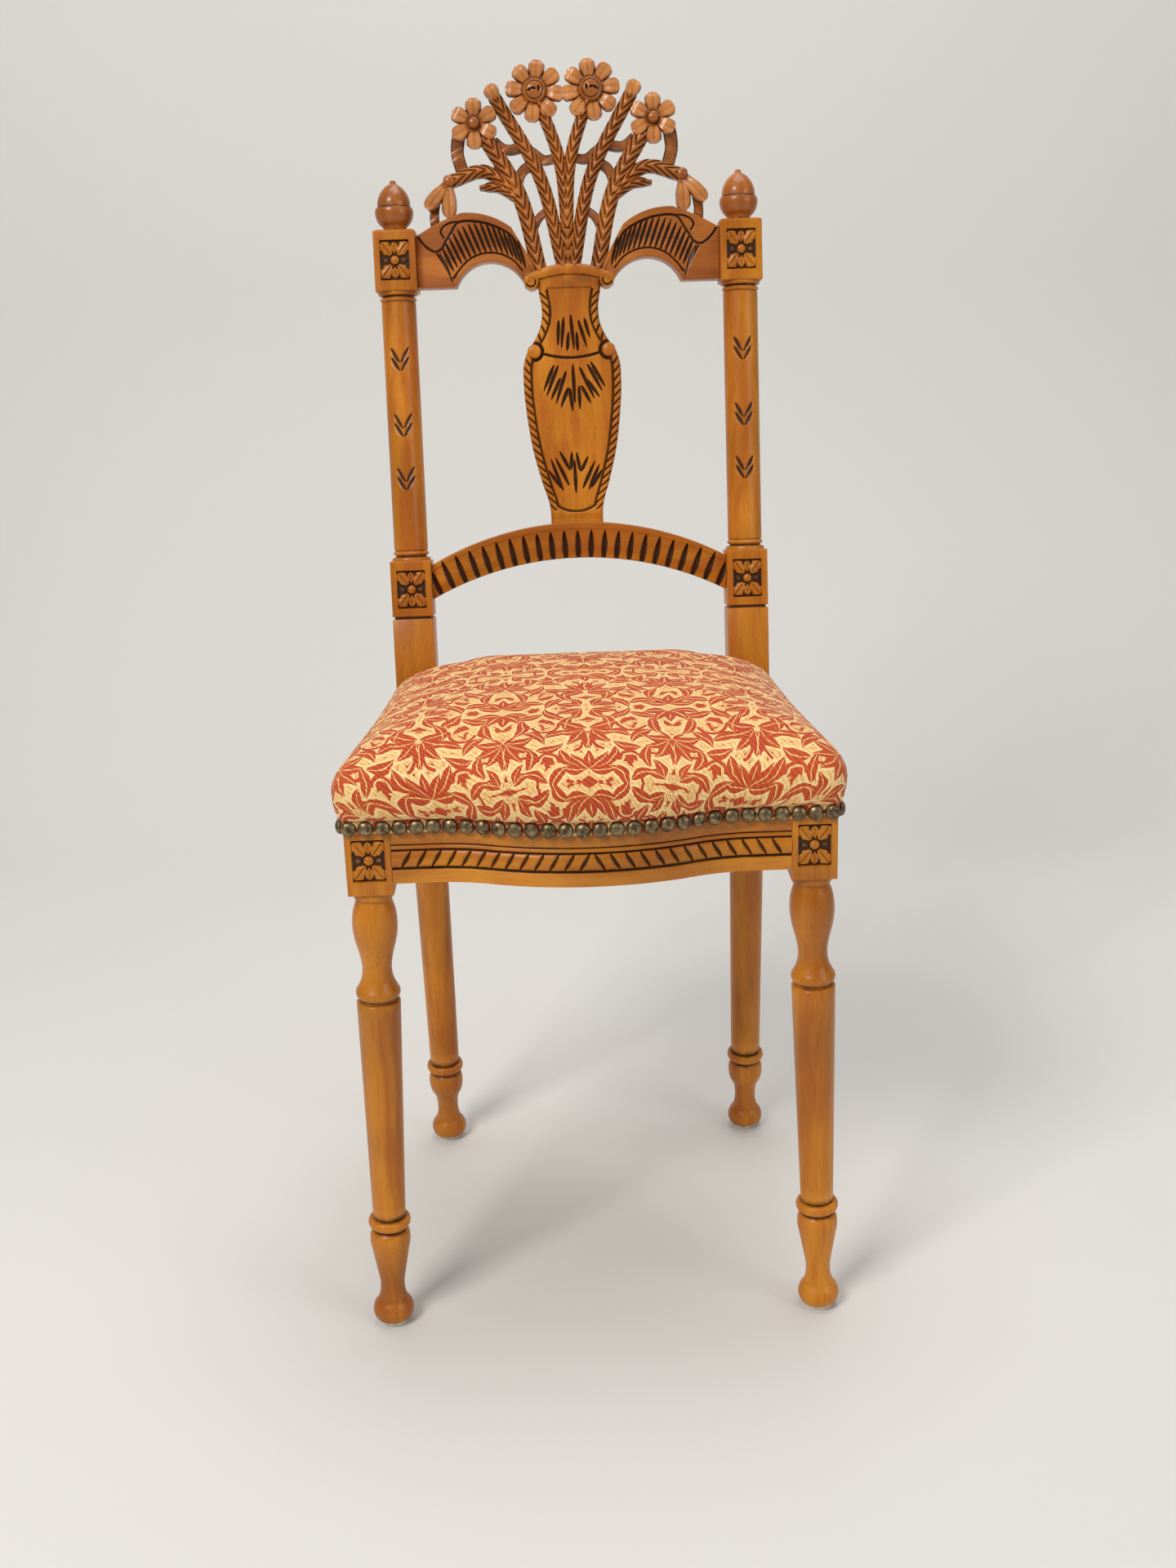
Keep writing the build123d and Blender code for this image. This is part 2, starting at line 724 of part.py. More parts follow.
def webbing():
    """Straps from front to back and from side to side, woven over and under each other."""
    places = [(index - (strap_count - 1) / 2) * strap_pitch for index in range(strap_count)]
    middle_y = (front_leg_y + front_block_width / 2 + post_front_y(seat_frame_top)) / 2
    rows = [middle_y + place for place in places]
    rear_end = rear_rail_y + rear_rail_thickness / 2 - strap_margin
    straps = []
    for index, x in enumerate(places):
        corners = (abs(x) - strap_width / 2, abs(x) + strap_width / 2)
        start = max(front_edge_y(corner) for corner in corners) + strap_margin
        view = strap(start, rear_end, rows, index % 2 == 0)
        straps.append(Pos(x, 0, 0) * extrude(Plane.YZ * view, amount=strap_width / 2, both=True))
    for index, y in enumerate(rows):
        reach = side_outer_x(y + strap_width / 2) - strap_margin
        view = strap(-reach, reach, places, index % 2 == 1)
        straps.append(Pos(0, y, 0) * extrude(Plane.XZ * view, amount=strap_width / 2, both=True))
    return straps


def frame_plan(grow):
    """Plan of the seat frame's outer faces, moved out by grow, as far back as the rear rail."""
    outer_x = front_leg_x + front_block_width / 2 + grow
    block_y = front_leg_y + front_block_width / 2
    post_y = post_front_y(seat_frame_top)
    rear_x = post_x + post_width / 2 + grow
    rear_y = rear_rail_y + rear_rail_thickness / 2 + grow
    ring = [(outer_x, front_face_y - grow), (outer_x, block_y), (rear_x, post_y), (rear_x, rear_y)]
    mirrored = [(-x, y) for x, y in reversed(ring)]
    line = ring + mirrored
    edges = front_edge(outer_x, grow)
    edges += [Line(a, b) for a, b in zip(line[:-1], line[1:])]
    return make_face(edges)


def cushion_plan(inset, corner):
    """Plan of the cushion at its fullest: bowed front, sides drawn in between the rounded corners."""
    grow = cushion_bulge - inset
    outer_x = front_leg_x + front_block_width / 2 + grow
    front_y = front_face_y - grow
    rear_x = post_x + post_width / 2 + rear_bulge - inset
    rear_y = rear_rail_y + rear_rail_thickness / 2 + rear_bulge - inset
    middle = ((outer_x + rear_x) / 2 - side_hollow, (front_y + rear_y) / 2)
    edges = front_edge(outer_x, grow)
    edges.append(ThreePointArc((outer_x, front_y), middle, (rear_x, rear_y)))
    edges.append(Line((rear_x, rear_y), (-rear_x, rear_y)))
    edges.append(ThreePointArc((-rear_x, rear_y), (-middle[0], middle[1]), (-outer_x, front_y)))
    face = make_face(edges)
    corners = face.vertices().sort_by(Axis.X)
    return fillet(corners[:2] + corners[-2:], corner)


def cushion(bottom, inset):
    """Crowned pad in flats: the plan drawn in at the under edge and, by tiers, up to the crown."""
    corners = []
    for edge in cushion_plan(inset, corner_round - inset).wire().order_edges():
        steps = 1 if edge.geom_type == GeomType.LINE else plan_steps
        corners += [edge @ (step / steps) for step in range(steps)]
    crown_y = (front_leg_y + rear_rail_y) / 2 + crown_back
    wall_top = seat_frame_top + cushion_wall - inset
    rise = seat_crown - inset - wall_top
    drawn_in = 1 - under_round / (front_leg_x + front_block_width / 2)
    tiers = [(drawn_in, bottom), (1, bottom + under_round)]
    tiers += [(share, wall_top + rise * height) for share, height in cushion_tiers]
    rings = []
    for share, height in tiers:
        rings.append([(share * spot.X, crown_y + share * (spot.Y - crown_y), height) for spot in corners])
    return skin(rings)


def post_notch(side, clearance):
    """Space behind the front of a back post and outside its inner face, cut from what lies on the seat."""
    inner = side * (post_x - post_width / 2 - clearance)
    outer = side * (post_x + 2 * post_width)
    front = -post_width / 2 - clearance
    lean_place = Location((0, bend_y, bend_height), (rear_leg_lean, 0, 0))
    lap = post_width * tan(radians((back_rake + rear_leg_lean) / 2))
    above = back_place * span((inner, front, -lap), (outer, seat_depth, seat_crown))
    below = lean_place * span((inner, front, -seat_crown), (outer, seat_depth, lap))
    return above + below


def seat_cover(cavity):
    """Fabric over the pad, drawn down over the rails to a hem below the nails."""
    hem = nail_line - cover_hem
    skirt_plan = frame_plan(cover_thickness + layer_gap)
    skirt = extrude(Pos(0, 0, hem) * skirt_plan, amount=stuffing_bottom - hem, dir=(0, 0, 1))
    frame_room = extrude(
        Pos(0, 0, hem - cover_hem) * frame_plan(layer_gap),
        amount=stuffing_bottom - hem + cover_hem,
        dir=(0, 0, 1),
    )
    return cushion(seat_frame_top, 0) + skirt - cavity - frame_room


def nail_row(wire, head, outward):
    """Nails spread evenly along a wire in plan. outward is the turn from the run to the open side."""
    count = round(wire.length / nail_pitch)
    nails = []
    for index in range(count):
        share = (index + 0.5) / count
        point = wire @ share
        normal = (wire % share).rotate(Axis.Z, outward)
        seat = Vector(point.X, point.Y, nail_line) + normal * nail_seat
        nails.append(Plane(seat, z_dir=normal) * head)
    return nails


def upholstery_nails():
    """Close-set nails along the front, both sides and the back of the seat."""
    grow = cover_thickness + layer_gap
    head = dome(nail_diameter / 2, nail_height, nail_facets, nail_tiers)
    outer_x = front_leg_x + front_block_width / 2 + grow
    rear_x = post_x + post_width / 2 + grow
    block_y = front_leg_y + front_block_width / 2
    post_y = post_front_y(nail_line)
    rear_y = rear_rail_y + rear_rail_thickness / 2 + grow
    inner_x = post_x - post_width / 2
    nails = nail_row(Wire(front_edge(outer_x, grow)), head, -90)
    for _, side in SIDES:
        line = ((side * outer_x, front_face_y), (side * outer_x, block_y), (side * rear_x, post_y))
        nails += nail_row(Wire(Polyline(*line).edges()), head, -90 * side)
    nails += nail_row(Wire([Line((inner_x, rear_y), (-inner_x, rear_y))]), head, -90)
    return nails


def mirrored_runs(runs):
    """Runs of the right half, then the same on the left in reverse order."""
    left = [tuple((-x, z) for x, z in reversed(run)) for run in reversed(runs)]
    return list(runs) + left


def back_board(face, front, back):
    """Solid in the frame of the back from a face drawn in (x, rise), between two depths."""
    board = extrude(Plane.XZ * face, amount=front + back, dir=(0, -1, 0))
    return Pos(0, back, 0) * board


def back_tenon(side, rise, height, gap):
    """Tenon, or with a gap its mortise, from a piece of the back into the inner face of a post."""
    length = tenon_length + (end_gap if gap else 0)
    half = (tenon_thickness / 2 + gap, height / 2 + gap)
    root = side * (post_face_x - tenon_root)
    tip = side * (post_face_x + length)
    return span((root, -half[0], rise - half[1]), (tip, half[0], rise + half[1]))


def arch_rail():
    """Arched rail between the lower blocks, in the frame of the back."""
    end_low = arch_end_top - arch_end_depth
    face = closed_face(
        ((-post_face_x, arch_end_top), (0, arch_top), (post_face_x, arch_end_top)),
        ((post_face_x, arch_end_top), (post_face_x, end_low)),
        ((post_face_x, end_low), (0, arch_top - arch_depth), (-post_face_x, end_low)),
        ((-post_face_x, end_low), (-post_face_x, arch_end_top)),
    )
    rail = back_board(face, arch_thickness / 2, arch_thickness / 2)
    for _, side in SIDES:
        rail = rail + back_tenon(side, arch_tenon_rise, arch_tenon_height, 0)
    return rail


def belly_runs(inset):
    """Right side of the vase's belly, from the foot up to the shoulder."""
    foot = vase_foot_width / 2 - inset
    widest = vase_width / 2 - inset
    shoulder = vase_shoulder_width / 2 - inset
    low = arch_top + vase_foot_rise
    mid = arch_top + vase_widest_rise
    high = arch_top + vase_shoulder_rise
    swell = (0.3 * foot + 0.7 * widest, 0.55 * low + 0.45 * mid)
    turn = (0.12 * shoulder + 0.88 * widest, (mid + high) / 2)
    return [((foot, low), swell, (widest, mid)), ((widest, mid), turn, (shoulder, high))]


def neck_runs(inset):
    """Right side of the vase's neck, from the shoulder up to the rim."""
    shoulder = vase_shoulder_width / 2 - inset
    neck = vase_neck_width / 2 - inset
    lip = vase_lip_width / 2 - inset
    low = arch_top + vase_shoulder_rise
    mid = arch_top + vase_neck_rise
    high = arch_top + vase_lip_rise
    hollow = (0.72 * neck + 0.28 * shoulder, (low + mid) / 2)
    flare = (0.8 * neck + 0.2 * lip, (mid + high) / 2)
    return [((shoulder, low), hollow, (neck, mid)), ((neck, mid), flare, (lip, high))]


def closed_outline(runs):
    """Face inside right-hand runs and their mirror images, closed with level lines."""
    outline = mirrored_runs(runs)
    right_top = runs[-1][-1]
    right_low = runs[0][0]
    outline.insert(len(runs), (right_top, (-right_top[0], right_top[1])))
    outline.append(((-right_low[0], right_low[1]), right_low))
    return closed_face(*outline)


def vase_rim():
    """Bowed rim of the vase with a scroll under each end, standing proud of the body."""
    half = rim_width / 2
    end_top = rim_top - rim_bow
    bar = closed_face(
        ((-half, end_top), (0, rim_top), (half, end_top)),
        ((half, end_top), (half - rim_depth / 2, end_top - rim_depth)),
        ((half - rim_depth / 2, end_top - rim_depth), (0, rim_top - rim_depth),
         (rim_depth / 2 - half, end_top - rim_depth)),
        ((rim_depth / 2 - half, end_top - rim_depth), (-half, end_top)),
    )
    proud = splat_thickness / 2 + rim_proud
    rim = back_board(bar, proud, splat_thickness / 2)
    for _, side in SIDES:
        eye = (side * (half - scroll_diameter / 2), end_top - rim_depth / 2)
        rim = rim + back_board(Pos(*eye) * Circle(scroll_diameter / 2), proud, splat_thickness / 2)
    return rim


def vase_splat(rail):
    """Flat vase: body with sunk fields inside a border, shoulder scrolls, rim and a tenon below."""
    foot = vase_foot_width / 2
    stub = [((foot + vase_border / 2, arch_top - arch_depth / 2), (foot, arch_top + vase_foot_rise))]
    half = splat_thickness / 2
    body = back_board(closed_outline(stub + belly_runs(0) + neck_runs(0)), half, half)
    lip = arch_top + vase_lip_rise
    top_width = vase_lip_width / 2
    body = body + span((-top_width, -half, lip), (top_width, half, rim_top - rim_depth / 2))
    for runs in (belly_runs(vase_border), neck_runs(vase_border)):
        raised = [tuple((x, z + vase_border / 2) for x, z in run) for run in runs]
        field = back_board(closed_outline(raised), half, field_depth - half)
        body = body - Pos(0, 0, -vase_border / 2) * field
    for _, side in SIDES:
        eye = (side * (vase_shoulder_width / 2 - scroll_diameter / 2), arch_top + vase_shoulder_rise)
        body = body + back_board(Pos(*eye) * Circle(scroll_diameter / 2), half + field_depth, half)
    return body + vase_rim() - rail


def splat_tenon(gap):
    """Tenon under the vase, or with a gap its mortise in the arched rail."""
    half = (splat_tenon_width / 2 + gap, tenon_thickness / 2 + gap)
    depth = splat_tenon_length + (end_gap if gap else 0)
    top = arch_top + vase_foot_rise / 2
    return span((-half[0], -half[1], arch_top - depth), (half[0], half[1], top))


def wing_blank(side):
    """Crest wing with its sunk panel, before it is scribed to the rim and the outer stem."""
    e = post_face_x
    end_low = top_block_rise + wing_step
    end_top = end_low + wing_end_depth
    peak = (e - wing_peak_inset, rim_top + wing_peak_rise)
    rim_end = rim_width / 2
    rim_seat = rim_top - rim_bow - rim_depth / 2
    inner = (outer_stem[0][0], rim_seat)
    knee = (outer_stem[1][0] + outer_stem_width / 2, rim_top + 0.7 * wing_peak_rise)
    arch_x = (e - wing_flat + rim_end) / 2
    arch_top_rise = rim_top + wing_arch_rise
    outline = closed_face(
        ((e, end_low), (e, end_top)),
        ((e, end_top), ((e + peak[0]) / 2, 0.42 * end_top + 0.58 * peak[1]), peak),
        (peak, (0.45 * peak[0] + 0.55 * knee[0], 0.25 * knee[1] + 0.75 * peak[1]), knee),
        (knee, (0.5 * knee[0] + 0.5 * inner[0], 0.55 * knee[1] + 0.45 * inner[1]), inner),
        (inner, (rim_end, rim_seat)),
        ((rim_end, rim_seat), (arch_x, arch_top_rise), (e - wing_flat, end_low)),
        ((e - wing_flat, end_low), (e, end_low)),
    )
    half = wing_thickness / 2
    wing = back_board(outline, half, half)
    b = wing_band
    panel_out = e - wing_flat
    panel_in = knee[0] + b / 2
    middle = (panel_in + panel_out) / 2
    panel = closed_face(
        ((panel_in, arch_top_rise + b / 2), (middle, arch_top_rise + b), (panel_out, arch_top_rise)),
        ((panel_out, arch_top_rise), (panel_out - b / 2, peak[1] - 1.5 * b)),
        ((panel_out - b / 2, peak[1] - 1.5 * b), (middle, peak[1] - 1.2 * b), (panel_in, knee[1] - b)),
        ((panel_in, knee[1] - b), (panel_in, arch_top_rise + b / 2)),
    )
    wing = wing - back_board(panel, half, wing_panel_depth - half)
    wing = wing + back_tenon(1, wing_tenon_rise, wing_tenon_height, 0)
    return wing if side > 0 else mirror(wing, Plane.YZ)


def strip(points, width, front, back, shoulder, gap):
    """Strip of the carving along an arc, with a flat back and a front that rises to a ridge."""
    line = ThreePointArc(*[(x, 0, rim_top + rise) for x, rise in points])
    half = width / 2 + gap
    section = (
        (-back - gap, -half),
        (shoulder + gap, -half),
        (front + gap, 0),
        (shoulder + gap, half),
        (-back - gap, half),
    )
    rings = []
    for step in range(strip_steps + 1):
        place = line @ (step / strip_steps)
        along = line % (step / strip_steps)
        across = Vector(along.Z, 0, -along.X)
        rings.append([place + across * offset + Vector(0, -depth, 0) for depth, offset in section])
    return skin(rings)


def stem(points, width, gap=0):
    return strip(points, width, stem_front, -stem_back, stem_shoulder, gap)


def petal(turn, start, length, width):
    """Petal that points along turn, narrow at its root and cut round at its tip, tapered to the front."""
    root = width / 3
    bend = length - 0.45 * width
    tip = width / 4
    lower = ((start, -root / 2), (bend, -width / 2), (length, -tip))
    upper = ((length, tip), (bend, width / 2), (start, root / 2))
    face = polygon(*lower, *upper)
    solid = extrude(face, amount=petal_front - petal_back, taper=petal_taper)
    return forward(Pos(0, 0, petal_back) * (Rot(0, 0, turn) * solid))


def flower(radius, count, width, hub):
    """Open flower: a ring of petals round a domed hub."""
    head = forward(Pos(0, 0, petal_back) * dome(hub, petal_front - petal_back + hub_proud, hub_facets))
    for index in range(count):
        head = head + petal(90 + 360 / count * index, hub / 2, radius, width)
    return head


def at(place):
    return Pos(place[0], 0, rim_top + place[1])


def bouquet_half():
    """Right half of the bouquet, up to the middle plane."""
    half = stem(outer_stem, outer_stem_width)
    half = half + stem(middle_stem, middle_stem_width)
    half = half + stem(inner_stem, inner_stem_width)
    half = half + stem(bell_branch, branch_width)
    half = half + stem(leaf_stub, leaf_width)
    for loop in ribbon_loops:
        half = half + strip(loop, ribbon_width, ribbon_front, ribbon_back, ribbon_front - 0.5, 0)
    half = half + at(large_flower) * flower(
        large_flower_radius, large_petals, large_petal_width, large_hub_radius)
    half = half + at(small_flower) * flower(
        small_flower_radius, small_petals, small_petal_width, small_hub_radius)
    bud_run = Vector(*middle_stem[2]) - Vector(*middle_stem[1])
    bud_turn = degrees(atan(bud_run.Y / bud_run.X))
    half = half + at(middle_stem[2]) * petal(bud_turn, -bud_length / 3, 2 * bud_length / 3, bud_width)
    knot = dome(bell_knot_radius, stem_front, boss_facets)
    half = half + at(bell_centre) * forward(Pos(0, 0, stem_back) * knot)
    for turn in bell_turns:
        half = half + at(bell_centre) * petal(turn, 0, bell_petal_length, bell_petal_width)
    return half


def bouquet_blank():
    """Both halves of the bouquet and the sheath where the inner stems rise from the vase."""
    right = bouquet_half()
    sheath_width = middle_stem[0][0] + middle_stem_width / 2
    sheath = back_board(
        polygon((-sheath_width, rim_top - rim_bow), (sheath_width, rim_top - rim_bow),
                (inner_stem_width / 2, rim_top + inner_stem[0][1] + inner_stem_width),
                (-inner_stem_width / 2, rim_top + inner_stem[0][1] + inner_stem_width)),
        stem_shoulder, -stem_back)
    return right + mirror(right, Plane.YZ) + sheath


def bouquet_tenon(gap):
    """Tenon under the sheath, or with a gap its mortise in the vase."""
    half = (bouquet_tenon_width / 2 + gap, (stem_shoulder - stem_back) / 2 + gap)
    middle = -(stem_shoulder + stem_back) / 2
    depth = bouquet_tenon_length + (end_gap if gap else 0)
    return span((-half[0], middle - half[1], rim_top - depth), (half[0], middle + half[1], rim_top + 1))


def finial():
    """Acorn with a dowel below, its seat on the plane Z = 0."""
    cup_rim = 0.45 * acorn_height
    tip = acorn_height - acorn_tip_diameter / 2
    dowel = finial_dowel_diameter / 2
    neck = acorn_neck_diameter / 2
    nut_waist = (0.4 * nut_diameter, 0.74 * acorn_height)
    cup_belly = (0.465 * acorn_diameter, 0.24 * acorn_height)
    return lathe(
        ((acorn_tip_diameter / 4, acorn_height), (acorn_tip_diameter / 2, tip)),
        ((acorn_tip_diameter / 2, tip), nut_waist),
        (nut_waist, (nut_diameter / 2, cup_rim)),
        ((nut_diameter / 2, cup_rim), (acorn_diameter / 2, cup_rim)),
        ((acorn_diameter / 2, cup_rim), cup_belly),
        (cup_belly, (neck, collar_height / 2)),
        ((neck, collar_height / 2), (neck, 0)),
        ((neck, 0), (dowel, 0)),
        ((dowel, 0), (dowel, -finial_dowel_length)),
    )


def finial_hole():
    """Hole in the top of a post for the finial's dowel."""
    depth = finial_dowel_length + end_gap
    radius = finial_dowel_diameter / 2 + joint_gap
    return Pos(0, 0, top_block_top - depth / 2) * Cylinder(radius, depth)


# Places of the joints and layers
arch_tenon_rise = arch_end_top - arch_end_depth / 2
wing_tenon_rise = top_block_rise + wing_step + wing_end_depth / 2
front_tenon_y = front_face_y + tenon_setback + tenon_thickness / 2
leg_tenon_x = front_leg_x + front_block_width / 2 - tenon_setback - tenon_thickness / 2
post_tenon_x = post_x + post_width / 2 - tenon_setback - tenon_thickness / 2
rear_rail_y = rear_axis_y(seat_frame_top - rail_height / 2)
hessian_bottom = seat_frame_top + 2 * (strap_thickness + layer_gap)
stuffing_bottom = hessian_bottom + hessian_thickness + layer_gap

# Seat frame
post_blanks = {}
leg_blanks = {}
for name, side in SIDES:
    post_blanks[name] = post_blank(side * post_x)
    leg_blanks[name] = front_leg_blank(side * front_leg_x, side)
    parts["side_seat_rail_" + name] = side_rail(side, post_blanks[name])
parts["front_seat_rail"] = front_rail()
parts["rear_seat_rail"] = rear_rail()

# Mortises for the seat rails
posts = {}
for name, side in SIDES:
    block_face_x = side * (front_leg_x - front_block_width / 2)
    block_face_y = front_leg_y + front_block_width / 2
    leg = leg_blanks[name] - mortise("X", block_face_x, side, front_tenon_y)
    parts["front_leg_" + name] = leg - mortise("Y", block_face_y, -1, side * leg_tenon_x)
    post = post_blanks[name] - mortise("X", side * post_face_x, side, rear_rail_y)
    posts[name] = post - mortise("Y", post_front_y(rail_bottom), 1, side * post_tenon_x)

# Corner blocks, scribed to the rails, and their screws
screws = []
for corner, places in screw_places().items():
    end, name = corner.split("_")
    side = dict(SIDES)[name]
    if end == "front":
        block = corner_blank(side * front_leg_x, front_leg_y, side, 1) - leg_blanks[name]
    else:
        block = corner_blank(side * post_x, rear_rail_y, side, -1) - post_blanks[name]
    rails = (end + "_seat_rail", "side_seat_rail_" + name)
    for rail, (point, direction) in zip(rails, places):
        hole = screw(point, direction, joint_gap)
        screws.append(screw(point, direction, 0))
        block = block - parts[rail] - hole
        parts[rail] = parts[rail] - hole
    parts["corner_block_" + corner] = block
parts["corner_block_screws"] = Compound(children=screws)

# Foot glides
glides = []
for name, side in SIDES:
    glides.append(foot_glide(front_foot_x(side), front_leg_y))
    glides.append(foot_glide(side * post_x, rear_axis_y(glide_height)))
parts["foot_glides"] = Compound(children=glides)

# Seat build-up
notches = [post_notch(side, post_clearance) for _, side in SIDES]
hessian_plan = frame_plan(-hessian_margin)
hessian = extrude(Pos(0, 0, hessian_bottom) * hessian_plan, amount=hessian_thickness, dir=(0, 0, 1))
layers = {
    "seat_hessian": hessian,
    "seat_stuffing": cushion(stuffing_bottom, cover_thickness + layer_gap),
    "seat_cover": seat_cover(cushion(stuffing_bottom, cover_thickness)),
}
for node, layer in layers.items():
    for notch in notches:
        layer = layer - notch
    parts[node] = layer
parts["seat_webbing"] = Compound(children=webbing())
parts["upholstery_nails"] = Compound(children=upholstery_nails())

# Back: scribed together in its own frame, then raked
rail = arch_rail()
vase = vase_splat(rail)
bouquet = bouquet_blank() - vase
parts["arched_back_rail"] = back_place * (rail - splat_tenon(joint_gap))
parts["vase_splat"] = back_place * (vase + splat_tenon(0) - bouquet_tenon(joint_gap))
stem_room = stem(outer_stem, outer_stem_width, stem_clearance)
finials = []
for name, side in SIDES:
    room = stem_room if side > 0 else mirror(stem_room, Plane.YZ)
    wing = wing_blank(side) - vase - room
    bouquet = bouquet - wing
    parts["crest_wing_" + name] = back_place * wing
    axis = Pos(side * post_x, 0, 0)
    post_cuts = (
        back_tenon(side, arch_tenon_rise, arch_tenon_height, joint_gap),
        back_tenon(side, wing_tenon_rise, wing_tenon_height, joint_gap),
        axis * finial_hole(),
    )
    post = posts[name]
    for cut in post_cuts:
        post = post - back_place * cut
    parts["back_post_" + name] = post
    finials.append(back_place * (Pos(side * post_x, 0, top_block_top) * finial()))
parts["finials"] = Compound(children=finials)
parts["carved_bouquet"] = back_place * (bouquet + bouquet_tenon(0))

os.makedirs("parts", exist_ok=True)
for node, solid in parts.items():
    export_step(solid, "parts/" + node + ".step")
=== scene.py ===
"""Dressed model of the carved side chair, with camera, floor and light."""
import math

import bmesh
import bpy
import numpy as np
from mathutils import Matrix, Vector


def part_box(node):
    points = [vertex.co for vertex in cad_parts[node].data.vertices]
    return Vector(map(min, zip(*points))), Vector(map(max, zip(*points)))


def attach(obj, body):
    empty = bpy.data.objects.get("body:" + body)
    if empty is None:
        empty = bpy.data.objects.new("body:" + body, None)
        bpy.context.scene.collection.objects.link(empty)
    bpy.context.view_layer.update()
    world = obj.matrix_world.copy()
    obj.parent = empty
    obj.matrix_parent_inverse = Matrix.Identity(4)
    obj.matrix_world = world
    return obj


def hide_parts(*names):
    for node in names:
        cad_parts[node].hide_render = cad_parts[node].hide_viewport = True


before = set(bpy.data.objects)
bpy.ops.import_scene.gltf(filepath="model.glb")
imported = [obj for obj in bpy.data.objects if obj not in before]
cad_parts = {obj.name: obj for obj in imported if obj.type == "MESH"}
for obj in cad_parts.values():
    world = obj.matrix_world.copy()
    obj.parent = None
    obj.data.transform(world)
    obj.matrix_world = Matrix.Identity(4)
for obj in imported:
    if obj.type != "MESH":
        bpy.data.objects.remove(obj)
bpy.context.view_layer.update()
scene = bpy.context.scene
MM = 0.001

# The chair's sizes, in millimetres, as in the solids
FRONT_LEG_X = 168.5
FRONT_LEG_Y = -146.4
FRONT_BLOCK = 35.0
FRONT_BLOCK_LOW = 385.0
FRONT_SPLAY = 1.35
SEAT_TOP = 447.0
RAIL_LOW = 394.0
POST_X = 149.0
POST_WIDTH = 36.0
BEND_Y = 122.6
BEND_Z = 470.0
LEG_LEAN = 4.7
RAKE = 8.05
LOW_BLOCK = (69.0, 119.0)
ARCH_TOP = 148.0
ARCH_END_TOP = 114.5
RIM_TOP = 369.5
TOP_BLOCK = (350.1, 401.1)
GLIDE = 5.0
PANEL = (25.5, 34.0, 3.0)
SIDES = (("left", -1), ("right", 1))
BACK_FRAME = Matrix.Translation((0, BEND_Y, BEND_Z)) @ Matrix.Rotation(-math.radians(RAKE), 4, "X")
# Share of a cut's darkening that spreads onto the wood around it, as stain and painted shade, and the most of
# it
SPREAD_STAIN_AND_SHADE, SPREAD_STAIN_AND_SHADE_MOST = 0.8, 0.5


# Plain mesh work. A shape is its points in mm, its faces, and how dark each point is: from 0 to 1
# with stain in cuts and painted shade, or below 0 where the wood is rubbed pale, as wear and painted
# highlight.
def quads(rows, columns, ring=False):
    """Four-sided faces of a grid of points, closed into a ring along its columns if asked."""
    index = np.arange(rows * columns).reshape(rows, columns)
    if ring:
        index = np.concatenate([index, index[:, :1]], axis=1)
    corners = (index[:-1, :-1], index[:-1, 1:], index[1:, 1:], index[1:, :-1])
    return np.stack(corners, axis=-1).reshape(-1, 4).tolist()


def joined(*shapes):
    """Several shapes as one."""
    points, faces, recess, start = [], [], [], 0
    for shape in shapes:
        points.append(shape[0])
        faces += [[corner + start for corner in face] for face in shape[1]]
        recess.append(shape[2])
        start += len(shape[0])
    return np.concatenate(points), faces, np.concatenate(recess)


def placed(shape, matrix):
    """A shape moved by a 4 by 4 matrix in millimetres."""
    turn = np.array(matrix.to_3x3())
    return shape[0] @ turn.T + np.array(matrix.translation), shape[1], shape[2]


def lifted(rise):
    """Matrix that moves a shape up."""
    return Matrix.Translation((0, 0, rise))


def mirrored(shape, side):
    """A shape drawn for the right (side 1), on that side or on the left (side -1)."""
    return shape[0] * np.array([side, 1, 1]), shape[1], shape[2]


def in_back(shape, x=0.0):
    """A shape drawn in the raked frame of the back, put in its place."""
    return placed(shape, Matrix.Translation((x, 0, 0)) @ BACK_FRAME)


def lens(value):
    """1 in the middle of a cut, 0 from its rims outwards."""
    return np.clip(1 - value ** 2, 0, None)


def through(points, count):
    """Smooth curve through points, as count samples."""
    points = np.array(points, float)
    knots = np.concatenate([[0], np.cumsum(np.linalg.norm(np.diff(points, axis=0), axis=1))])
    slopes = np.gradient(points, knots, axis=0)
    at = np.linspace(0, knots[-1], count)
    span = np.clip(np.searchsorted(knots, at, side="right") - 1, 0, len(knots) - 2)
    width = (knots[span + 1] - knots[span])[:, None]
    t = ((at - knots[span]) / (knots[span + 1] - knots[span]))[:, None]
    first = (2 * t ** 3 - 3 * t ** 2 + 1) * points[span] + (t ** 3 - 2 * t ** 2 + t) * width * slopes[span]
    second = (3 * t ** 2 - 2 * t ** 3) * points[span + 1] + (t ** 3 - t ** 2) * width * slopes[span + 1]
    return first + second


def arc(start, middle, end, x):
    """Height at x of the circle through three points (x, height)."""
    (ax, ay), (bx, by), (cx, cy) = start, middle, end
    d = 2 * (ax * (by - cy) + bx * (cy - ay) + cx * (ay - by))
    a2, b2, c2 = ax * ax + ay * ay, bx * bx + by * by, cx * cx + cy * cy
    ox = (a2 * (by - cy) + b2 * (cy - ay) + c2 * (ay - by)) / d
    oy = (a2 * (cx - bx) + b2 * (ax - cx) + c2 * (bx - ax)) / d
    radius = math.hypot(ax - ox, ay - oy)
    side = 1 if by > oy else -1
    return oy + side * np.sqrt(np.clip(radius ** 2 - (x - ox) ** 2, 0, None))


def rings_skin(rings, recess=None):
    """Closed shape over rings of points, with a flat face on each end."""
    rings = np.array(rings, float)
    rows, columns = rings.shape[:2]
    faces = quads(rows, columns, ring=True)
    faces.append(list(range(columns))[::-1])
    faces.append([(rows - 1) * columns + step for step in range(columns)])
    depth = np.zeros((rows, columns)) if recess is None else recess
    return rings.reshape(-1, 3), faces, np.asarray(depth, float).reshape(-1)


